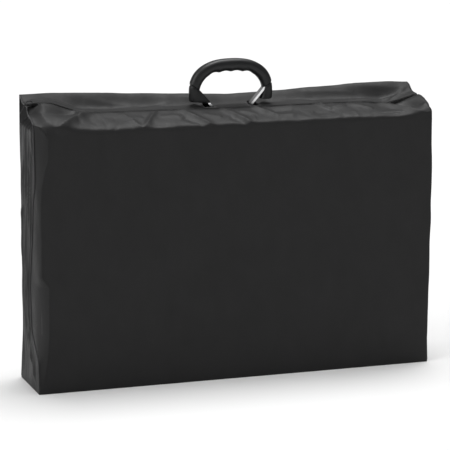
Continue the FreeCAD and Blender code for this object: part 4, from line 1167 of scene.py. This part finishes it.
    def bindings(self) -> bpy.types.Object:
        """Make the bound rims of the two handle openings."""
        parts = []
        for turn in (-1, 1):
            near, far = (self.handle_middle + turn * span for span in self.slot_span)
            low, high = self.slot_depth
            corners = [(near, low), (far, low), (far, high), (near, high), (near, low)]
            outline = []
            for (x0, y0), (x1, y1) in zip(corners[:-1], corners[1:]):
                shares = np.linspace(0, 1, 9)[:-1]
                outline += [(x0 + (x1 - x0) * share, y0 + (y1 - y0) * share) for share in shares]
            outline = np.array(outline)
            heights = np.array([self.rear_line(np.array([x]), float(y))[0] for x, y in outline])
            middle = outline.mean(0)
            rings = []
            for outward, lift in ((-0.0004, -0.0022), (-0.0012, 0.0), (-0.0002, 0.0016), (0.003, 0.0017),
                                  (0.0052, 0.0012), (0.0056, 0.0002), (0.0050, -0.0006), (0.0, -0.0024)):
                away = np.sign(outline - middle)
                edge = np.abs(outline - middle) > np.abs(outline - middle).max(0) - 1e-4
                rings.append(np.column_stack([outline + away * edge * outward, heights + lift]))
            points = np.stack(rings, 1).reshape(-1, 3)
            count = len(rings)
            faces = grid_faces(len(outline), count, closed=True)
            last = (len(outline) - 1) * count
            faces += [(last + k, last + (k + 1) % count, (k + 1) % count, k) for k in range(count)]
            parts.append((points, faces if turn < 0 else [face[::-1] for face in faces]))
        return mesh_piece("handle_opening_bindings", *joined(parts), WEBBING)


# ---------------------------------------------------------------- the zip


@dataclass
class ZipFastener:
    """The zip along the cover's top: two tapes, two rows of teeth, end stops, the slider and its pull."""

    top: TopLine = field(default_factory=TopLine)
    start: float = -0.455
    finish: float = 0.469
    pitch: float = 0.003
    tape_width: float = 0.0115

    def build(self) -> list[bpy.types.Object]:
        """Make every piece of the zip.

        Returns:
            The pieces.
        """
        front, rear = self.tape(-1), self.tape(1)
        teeth, stops, slider, pull = self.teeth(), self.stops(), self.slider(), self.pull()
        plan = (
            (front, "zip_front_tape", "zip_tape", "root"), (rear, "zip_rear_tape", "zip_tape", "root"),
            (teeth, "zip_teeth", "zip_teeth", "root"), (stops, "zip_end_stops", "zip_metal", "root"),
            (slider, "zip_slider", "zip_metal", "zip_runner"), (pull, "zip_pull", "zip_metal", "zip_tab"),
        )
        for piece, node, slot, body in plan:
            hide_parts(node)
            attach(piece, body)
            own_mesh(piece)
            LOG.info("zip: %s, %d faces", piece.name, len(piece.data.polygons))
        return [piece for piece, *_ in plan]

    def tape(self, side: int) -> bpy.types.Object:
        """Make one woven tape, with a cord along its toothed edge."""
        across = np.linspace(self.start - 0.0196, self.finish + 0.0056, 240)
        heights = self.top.zip_height(across)
        section = ((0.0008, 0.0), (0.0012, 0.0009), (0.0024, 0.0011), (0.0032, 0.0002), (0.006, 0.0001),
                   (self.tape_width, 0.0006), (self.tape_width, -0.0002), (0.006, -0.0008), (0.0030, -0.0008),
                   (0.0010, -0.0008))
        rows = [
            np.stack([across, np.full_like(across, side * depth), heights - 0.0012 + lift], 1)
            for depth, lift in section
        ]
        points = np.stack(rows, 1).reshape(-1, 3)
        count = len(section)
        faces = grid_faces(len(across), count, closed=True)
        last = (len(across) - 1) * count
        faces += [tuple(range(count))[::-1], tuple(last + k for k in range(count))]
        if side < 0:
            faces = [face[::-1] for face in faces]
        name = "front_zip_tape" if side < 0 else "rear_zip_tape"
        return mesh_piece(name, points, faces, ZIP_TAPE_PAINTED_SHADE)

    def tooth(self, middle: np.ndarray, side: int) -> tuple[np.ndarray, list]:
        """Return one moulded tooth: a clasp on the tape and a head that reaches over the middle."""
        outline = [(-0.00095, 0.0031), (0.00095, 0.0031), (0.00095, 0.0012), (0.00065, 0.0004),
                   (0.00105, -0.0006), (0.0006, -0.0012), (-0.0006, -0.0012), (-0.00105, -0.0006),
                   (-0.00065, 0.0004), (-0.00095, 0.0012)]
        points, faces = bevelled_plate(outline, -0.0011, 0.0013, 0.00025)
        turned = np.column_stack([points[:, 0], side * points[:, 1], points[:, 2]])
        return turned + middle, faces if side < 0 else [face[::-1] for face in faces]

    def teeth(self) -> bpy.types.Object:
        """Make both rows of teeth, set between each other."""
        parts = []
        for index, place in enumerate(np.arange(self.start, self.finish, self.pitch / 2)):
            height = float(self.top.zip_height(np.array([place]))[0])
            parts.append(self.tooth(np.array([place, 0.0, height]), -1 if index % 2 else 1))
        return mesh_piece("zip_tooth_rows", *joined(parts), COIL_NYLON_PAINTED_SHADE, smooth=False)

    def stops(self) -> bpy.types.Object:
        """Make the bent metal stops at both ends of the chain."""
        parts = []
        for place in (self.start - 0.0035, self.finish + 0.0015):
            height = float(self.top.zip_height(np.array([place]))[0])
            outline = [(-0.0016, -0.0030), (0.0016, -0.0030), (0.0019, 0.0), (0.0016, 0.0030), (-0.0016, 0.0030),
                       (-0.0019, 0.0)]
            points, faces = bevelled_plate(outline, -0.0016, 0.0017, 0.0004)
            parts.append((points + np.array([place, 0.0, height]), faces))
        return mesh_piece("zip_chain_stops", *joined(parts), ENAMELLED_METAL)

    def slider(self) -> bpy.types.Object:
        """Make the slider: two waisted plates, side lips and the bridge."""
        low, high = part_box("zip_slider")
        middle = np.array([(low[0] + high[0]) / 2, 0.0, 0.0])
        half, base = (high[0] - low[0]) / 2, low[2]
        outline = [(-half, -0.0030), (-half * 0.55, -0.0050), (half * 0.2, -0.0046), (half, -0.0036), (half, 0.0036),
                   (half * 0.2, 0.0046), (-half * 0.55, 0.0050), (-half, 0.0030)]
        parts = []
        for bottom in (0.0, 0.0036):
            points, faces = bevelled_plate(outline, base + bottom, base + bottom + 0.0014, 0.0004)
            parts.append((points + middle, faces))
        for side in (-1, 1):
            lip = [(-half * 0.5, side * 0.0042), (half * 0.9, side * 0.0034), (half * 0.9, side * 0.0042),
                   (-half * 0.5, side * 0.0050)]
            points, faces = bevelled_plate(lip, base + 0.0010, base + 0.0022, 0.0001)
            parts.append((points + middle, faces if side > 0 else [face[::-1] for face in faces]))
        arch = [(-0.0075, 0.0045), (-0.0075, 0.0075), (-0.0045, 0.0096), (0.001, 0.0096), (0.0045, 0.0078),
                (0.006, 0.0045)]
        path = np.array([(middle[0] + along, 0.0, base + up) for along, up in arch])
        parts.append(tube(soft_line(path, 22, 2), 0.0010, 8))
        return mesh_piece("zip_slider_body", *joined(parts), ENAMELLED_METAL)

    def pull(self) -> bpy.types.Object:
        """Make the pull: a waisted tag with a long hole through it."""
        low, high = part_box("zip_pull")
        top, foot = np.array([high[0] - 0.0015, 0.0, high[2] - 0.0012]), np.array([low[0] + 0.0008, 0.0, low[2] + 0.001])
        along = foot - top
        length = float(np.linalg.norm(along))
        along /= length
        widths = ((0.0, 0.0022), (0.12, 0.0034), (0.3, 0.0030), (0.5, 0.0024), (0.75, 0.0030), (0.92, 0.0034),
                  (1.0, 0.0024))
        face = np.cross(along, np.array([0.0, 1.0, 0.0]))
        outer, inner = [], []
        for turn in (1, -1):
            for share, width in (widths if turn > 0 else widths[::-1]):
                outer.append(top + along * length * share + np.array([0.0, turn * width, 0.0]))
                squeezed = 0.12 + 0.76 * share
                inner.append(top + along * length * squeezed + np.array([0.0, turn * max(width - 0.0012, 0.0007), 0.0]))
        rings = []
        for ring, lift in ((inner, -0.0006), (outer, -0.0006), (outer, 0.0006), (inner, 0.0006)):
            rings.append(np.array(ring) + face * lift)
        points, count = np.stack(rings, 1).reshape(-1, 3), 4
        faces = grid_faces(len(outer), count, closed=True)
        last = (len(outer) - 1) * count
        faces += [(last + k, last + (k + 1) % count, (k + 1) % count, k) for k in range(count)]
        piece = mesh_piece("zip_pull_tag", points, faces, ENAMELLED_METAL)
        return modify(piece, "BEVEL", width=0.0002, segments=2)


# ---------------------------------------------------------------- the handle


@dataclass
class CarryingHandle:
    """The moulded grip over the plated strap: an arch with finger hollows, sleeve lines and flared feet."""

    middle: tuple[float, float] = (0.018, 0.025)
    half_depth: float = 0.014
    sleeve_line: float = 0.669
    scallop_pitch: float = 0.028
    scallop_depth: float = 0.0022
    lip_thick: float = 0.005
    lip_edge: tuple[tuple[float, float], ...] = (
        (0.0785, 0.6650), (0.0525, 0.6365), (0.0530, 0.6335), (0.0700, 0.6345), (0.0950, 0.6375), (0.0960, 0.6600))
    outer: tuple[tuple[float, float], ...] = (
        (0.0990, 0.6365), (0.1015, 0.640), (0.102, 0.655), (0.1012, 0.673), (0.0955, 0.692), (0.0835, 0.7095),
        (0.063, 0.7235), (0.036, 0.7327), (0.0, 0.735))
    inner: tuple[tuple[float, float], ...] = (
        (0.0700, 0.6365), (0.0712, 0.6395), (0.0745, 0.6480), (0.0770, 0.6595), (0.0750, 0.6705), (0.068, 0.6840),
        (0.0565, 0.6955), (0.040, 0.7022), (0.0, 0.7040))

    def build(self) -> bpy.types.Object:
        """Make the grip.

        Returns:
            The grip.
        """
        grip = self.grip()
        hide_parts("handle_grip")
        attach(grip, "handle")
        LOG.info("handle: %s, %d faces", grip.name, len(grip.data.polygons))
        return grip

    def edge_lines(self, count: int) -> tuple[np.ndarray, np.ndarray]:
        """Return the outer and inner edges of the arch, from one foot over to the other.

        Args:
            count: How many points each has.

        Returns:
            The two lines, as places along the cover and heights.
        """
        lines = []
        for edge in (self.outer, self.inner):
            half = np.array(edge)
            whole = np.concatenate([half * np.array([-1, 1]), half[::-1][1:]])
            share = np.concatenate([np.linspace(0, 0.5, len(half)), np.linspace(0.5, 1, len(half))[1:]])
            line = soft_line(np.column_stack([share, whole]), 600, 3)
            places = np.linspace(0, 1, count)
            lines.append(np.stack([np.interp(places, line[:, 0], line[:, axis]) for axis in (1, 2)], 1))
        outer, inner = lines
        wave = np.cos(np.pi * inner[:, 0] / self.scallop_pitch) ** 2
        reach = 1 - smooth_step(np.abs(inner[:, 0]), self.scallop_pitch * 1.8, self.scallop_pitch * 2.1)
        peaks = np.abs(np.sin(np.pi * inner[:, 0] / self.scallop_pitch))
        inner[:, 1] += self.scallop_depth * (peaks ** 0.7 - 0.35 * wave) * reach
        return outer, inner

    def grip(self) -> bpy.types.Object:
        """Make the grip as rounded sections swept between the two edges."""
        count, around = 220, 40
        outer, inner = self.edge_lines(count)
        angles = np.linspace(0, math.tau, around, endpoint=False)
        swing, lift = np.cos(angles), np.sin(angles)
        plane = np.sign(swing) * np.abs(swing) ** 0.92
        depth = np.sign(lift) * np.abs(lift) ** 0.84
        middles, halves = (outer + inner) / 2, (outer - inner) / 2
        height = middles[:, 1]
        groove = np.exp(-((height - self.sleeve_line) / 0.0016) ** 2)
        foot = 1 - smooth_step(height, self.sleeve_line - 0.0016, self.sleeve_line - 0.0004)
        ends = smooth_step(np.minimum(np.arange(count), count - 1 - np.arange(count)), -1.0, 5.0)
        size = (1 - 0.045 * foot - 0.16 * groove) * (0.90 + 0.10 * ends)
        flat = middles[:, None, :] + halves[:, None, :] * plane[None, :, None] * size[:, None, None]
        across = self.middle[1] + self.half_depth * depth[None, :] * (size - 0.03 * foot)[:, None]
        points = np.stack([self.middle[0] + flat[..., 0], across, flat[..., 1]], -1).reshape(-1, 3)
        faces = grid_faces(count, around, closed=True)
        last = (count - 1) * around
        faces += [tuple(range(around))[::-1], tuple(last + k for k in range(around))]
        sweep = points, [face[::-1] for face in faces]
        piece = mesh_piece("handle_moulding", *joined([sweep, self.lip(-1)]), MOULDED_GRIP)
        return modify(piece, "SUBSURF", levels=1, render_levels=1)

    def lip(self, side: int) -> tuple[np.ndarray, list]:
        """Return the lip of one foot, which wraps the front edge of the strap.

        Args:
            side: -1 for the left foot and 1 for the right.

        Returns:
            The points and faces.
        """
        edge = soft_line(self.lip_edge + self.lip_edge[:1], 60, 2)[:-1]
        points, faces = bevelled_plate([(side * along, height) for along, height in edge], 0.0, self.lip_thick, 0.0012)
        placed = np.column_stack([self.middle[0] + points[:, 0], self.middle[1] - self.half_depth * 0.93 + points[:, 2],
                                  points[:, 1]])
        return placed, faces if side < 0 else [face[::-1] for face in faces]


# ---------------------------------------------------------------- the padded halves and the carried-over parts


@dataclass
class UpholsteredPad:
    """The padded, hide-covered top of one half of the table."""

    half: str
    corner_radius: float = 0.005
    corner_points: int = 8
    crown: float = 0.0012
    ring_points: int = 320
    skirt: float = 0.0035
    board: float = 0.005
    board_gap: float = 0.0006

    def build(self) -> bpy.types.Object:
        """Make the pad and its edge cord.

        Returns:
            The pad.
        """
        node, body = f"{self.half}_upholstery", "front_half" if self.half == "front" else "root"
        low, high = (np.array(corner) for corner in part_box(node))
        side = -1.0 if self.half == "front" else 1.0
        inner, outer = (high[1], low[1]) if side < 0 else (low[1], high[1])
        depth = abs(outer - inner)
        profile = soft_line(((self.skirt, 0.0), (0.0006, 0.03), (0.0, 0.12), (0.0, 0.55), (0.001, 0.80), (0.0055, 0.95),
                             (0.016, 0.995), (0.030, 1.0)), 22)
        over_board = (self.board + self.board_gap) / depth
        profile = [(self.skirt, over_board), *profile]
        rings = [self.ring(low, high, inset, inner + side * depth * rise, 1.0) for inset, rise in profile]
        for shrink in np.linspace(0.96, 0.03, 24):
            swell = side * self.crown * (1 - shrink ** 2)
            rings.append(self.ring(low, high, 0.030, outer + swell, float(shrink)))
        points = np.concatenate(rings)
        faces = grid_faces(len(rings), self.ring_points, closed=True)
        last = (len(rings) - 1) * self.ring_points
        faces += [tuple(range(self.ring_points))[::-1], tuple(last + k for k in range(self.ring_points))]
        if side < 0:
            faces = [face[::-1] for face in faces]
        pad = mesh_piece(f"{self.half}_upholstery_cloth", points, faces, BLACK_VINYL)
        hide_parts(node, f"{self.half}_foam")
        cord_line = self.ring(low, high, 0.0008, inner + side * depth * 0.74, 1.0)
        cord = mesh_piece(f"{self.half}_edge_cord", *tube(cord_line, 0.0013, 8, closed=True), BLACK_VINYL)
        for piece in (pad, cord):
            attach(piece, body)
            LOG.info("pad: %s, %d faces", piece.name, len(piece.data.polygons))
        return pad

    def ring(self, low: np.ndarray, high: np.ndarray, inset: float, depth: float, shrink: float) -> np.ndarray:
        """Return one rounded outline of the pad.

        Args:
            low: The pad's lowest corner.
            high: Its highest corner.
            inset: How far the outline lies inside the pad's box.
            depth: The outline's place across the table.
            shrink: The share that is left of its length and width.

        Returns:
            The outline's points.
        """
        middle = (low + high) / 2
        half_x, half_z = (high[0] - low[0]) / 2 - inset, (high[2] - low[2]) / 2 - inset
        radius = max(self.corner_radius - inset * 0.3, 0.004)
        corners = []
        for turn, (sign_x, sign_z) in enumerate(((1, 1), (-1, 1), (-1, -1), (1, -1))):
            arc = np.linspace(0, math.pi / 2, self.corner_points) + turn * math.pi / 2
            corners.append(np.stack([sign_x * (half_x - radius) + radius * np.cos(arc),
                                     sign_z * (half_z - radius) + radius * np.sin(arc)], 1))
        runs = self.ring_points // 4 - self.corner_points
        sides = [np.linspace(corner[-1], after[0], runs + 2)[1:-1]
                 for corner, after in zip(corners, corners[1:] + corners[:1])]
        flat = np.concatenate([part for pair in zip(corners, sides) for part in pair])
        pulled = 1 - 0.0016 * np.cos(np.pi * flat / (2 * np.array([half_x, half_z])))[:, ::-1]
        flat = flat * pulled * shrink
        return np.stack([middle[0] + flat[:, 0], np.full(len(flat), depth), middle[2] + flat[:, 1]], 1)


@dataclass(frozen=True)
class Carried:
    """How a CAD piece that keeps its shape is finished."""

    ending: str
    finish: Finish
    ease: float = 0.0


CARRIED_PARTS: tuple[Carried, ...] = (
    Carried("cover_base_panel", COVER_CLOTH),
    Carried("handle_core", PLATED_STEEL, 0.0004),
    Carried("handle_brackets", ZINC_STEEL, 0.0004),
    Carried("handle_pins", PLATED_STEEL, 0.0004),
    Carried("handle_screws", ZINC_STEEL),
    Carried("_board", BIRCH_PLY, 0.0004),
    Carried("_side_rails", BEECH_LONG, 0.0012),
    Carried("_hinge_rail", BEECH_UPRIGHT, 0.0012),
    Carried("_end_rail", BEECH_UPRIGHT, 0.0012),
    Carried("_pivot_blocks", BEECH_LONG, 0.0008),
    Carried("_pivot_bolts", ZINC_STEEL, 0.0004),
    Carried("_hinge_leaves", PLATED_STEEL, 0.0003),
    Carried("_hinge_screws", ZINC_STEEL),
    Carried("_leg_uprights", BEECH_LONG, 0.0012),
    Carried("_leg_crossbars", BEECH_UPRIGHT, 0.0012),
    Carried("_height_bolts", ZINC_STEEL, 0.0003),
    Carried("_extension", BEECH_LONG, 0.0010),
    Carried("_foot", FOOT_RUBBER, 0.0008),
    Carried("_knob", BLACK_KNOB, 0.0006),
    Carried("hinge_pins", PLATED_STEEL, 0.0003),
    Carried("latch_bases", PLATED_STEEL, 0.0003),
    Carried("latch_levers", PLATED_STEEL, 0.0003),
    Carried("latch_keepers", PLATED_STEEL, 0.0003),
    Carried("latch_pins", ZINC_STEEL, 0.0003),
)


def finish_carried_parts() -> None:
    """Give every CAD piece that is still shown its finish and eased edges."""
    for name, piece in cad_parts.items():
        if piece.hide_render:
            continue
        found = next(carried for carried in CARRIED_PARTS if name.endswith(carried.ending))
        piece.data.materials.clear()
        piece.data.materials.append(found.finish.material())
        if found.ease:
            modify(piece, "BEVEL", width=found.ease, segments=2, limit_method="ANGLE", angle_limit=math.radians(40),
                   harden_normals=False)
        LOG.info("carried over: %s in %s", name, found.finish.name)


# ---------------------------------------------------------------- the studio


@dataclass
class Studio:
    """The pale floor, the soft lights and the camera."""

    aim: tuple[float, float, float] = (-0.004, 0.0, 0.3468)
    azimuth: float = -18.4
    elevation: float = 11.7
    distance: float = 6.0
    lens: float = 206.0

    def build(self) -> None:
        """Make the floor, lights, world and camera."""
        self.floor()
        self.world()
        self.sun("ceiling", 140.0, 79.0, 3.45, 36.0)
        self.sun("key", -30.0, 68.0, 0.4, 40.0)
        self.sun("side", -80.0, 28.0, 1.4, 44.0)
        self.camera()
        bpy.context.scene.view_settings.view_transform = "Standard"

    def floor(self) -> None:
        """Make a wide pale floor."""
        section = np.linspace(-30.0, 30.0, 13)
        points = [(x, y, 0.0) for y in section for x in section]
        floor = mesh_piece("studio_floor", points, grid_faces(len(section), len(section)), PAPER)

    def world(self) -> None:
        """Make an even pale surround."""
        world = bpy.data.worlds.new("studio")
        world.use_nodes = True
        surround = world.node_tree.nodes["Background"]
        surround.inputs["Color"].default_value = (1.0, 1.0, 1.0, 1.0)
        surround.inputs["Strength"].default_value = 0.22
        bpy.context.scene.world = world

    def sun(self, name: str, azimuth: float, elevation: float, strength: float, spread: float) -> None:
        """Add one broad, soft light from far off.

        Args:
            name: The light's name.
            azimuth: Where it stands round the object, in degrees; 0 is in front.
            elevation: How high it stands, in degrees.
            strength: Its strength.
            spread: How wide it looks from the object, in degrees.
        """
        light = bpy.data.lights.new(name, "SUN")
        light.energy, light.angle = strength, math.radians(spread)
        holder = bpy.data.objects.new(name, light)
        holder.rotation_mode = "QUATERNION"
        holder.rotation_quaternion = (-self.towards(azimuth, elevation)).to_track_quat("-Z", "Y")
        bpy.context.scene.collection.objects.link(holder)

    @staticmethod
    def towards(azimuth: float, elevation: float) -> Vector:
        """Return the direction from the object to a place round it, in degrees."""
        turn, rise = math.radians(azimuth), math.radians(elevation)
        return Vector((math.sin(turn) * math.cos(rise), -math.cos(turn) * math.cos(rise), math.sin(rise)))

    def camera(self) -> None:
        """Set the camera at its angle and distance."""
        back = self.towards(self.azimuth, self.elevation)
        lens = bpy.data.cameras.new("camera")
        lens.lens, lens.sensor_width = self.lens, 36.0
        holder = bpy.data.objects.new("camera", lens)
        holder.location = Vector(self.aim) + back * self.distance
        holder.rotation_mode = "QUATERNION"
        holder.rotation_quaternion = (-back).to_track_quat("-Z", "Y")
        bpy.context.scene.collection.objects.link(holder)
        bpy.context.scene.camera = holder


PAPER = Finish(
    "studio_paper", Effect.HANDLED,
    {"Texture": 30.0, "Edge": 0.0, "Smooth": 0.8, "Rough": 0.9,
     "Colour": (0.66, 0.66, 0.66), "Edge Colour": (0.66, 0.66, 0.66)},
    bump=0.00002, specular=0.1,
)


def main() -> None:
    """Build the scene."""
    logging.basicConfig(level=logging.INFO, format="%(name)s: %(message)s")
    for half in ("front", "rear"):
        UpholsteredPad(half).build()
    ZipFastener().build()
    CarryCover().build()
    CarryingHandle().build()
    finish_carried_parts()
    Studio().build()


if __name__ == "__main__":
    main()
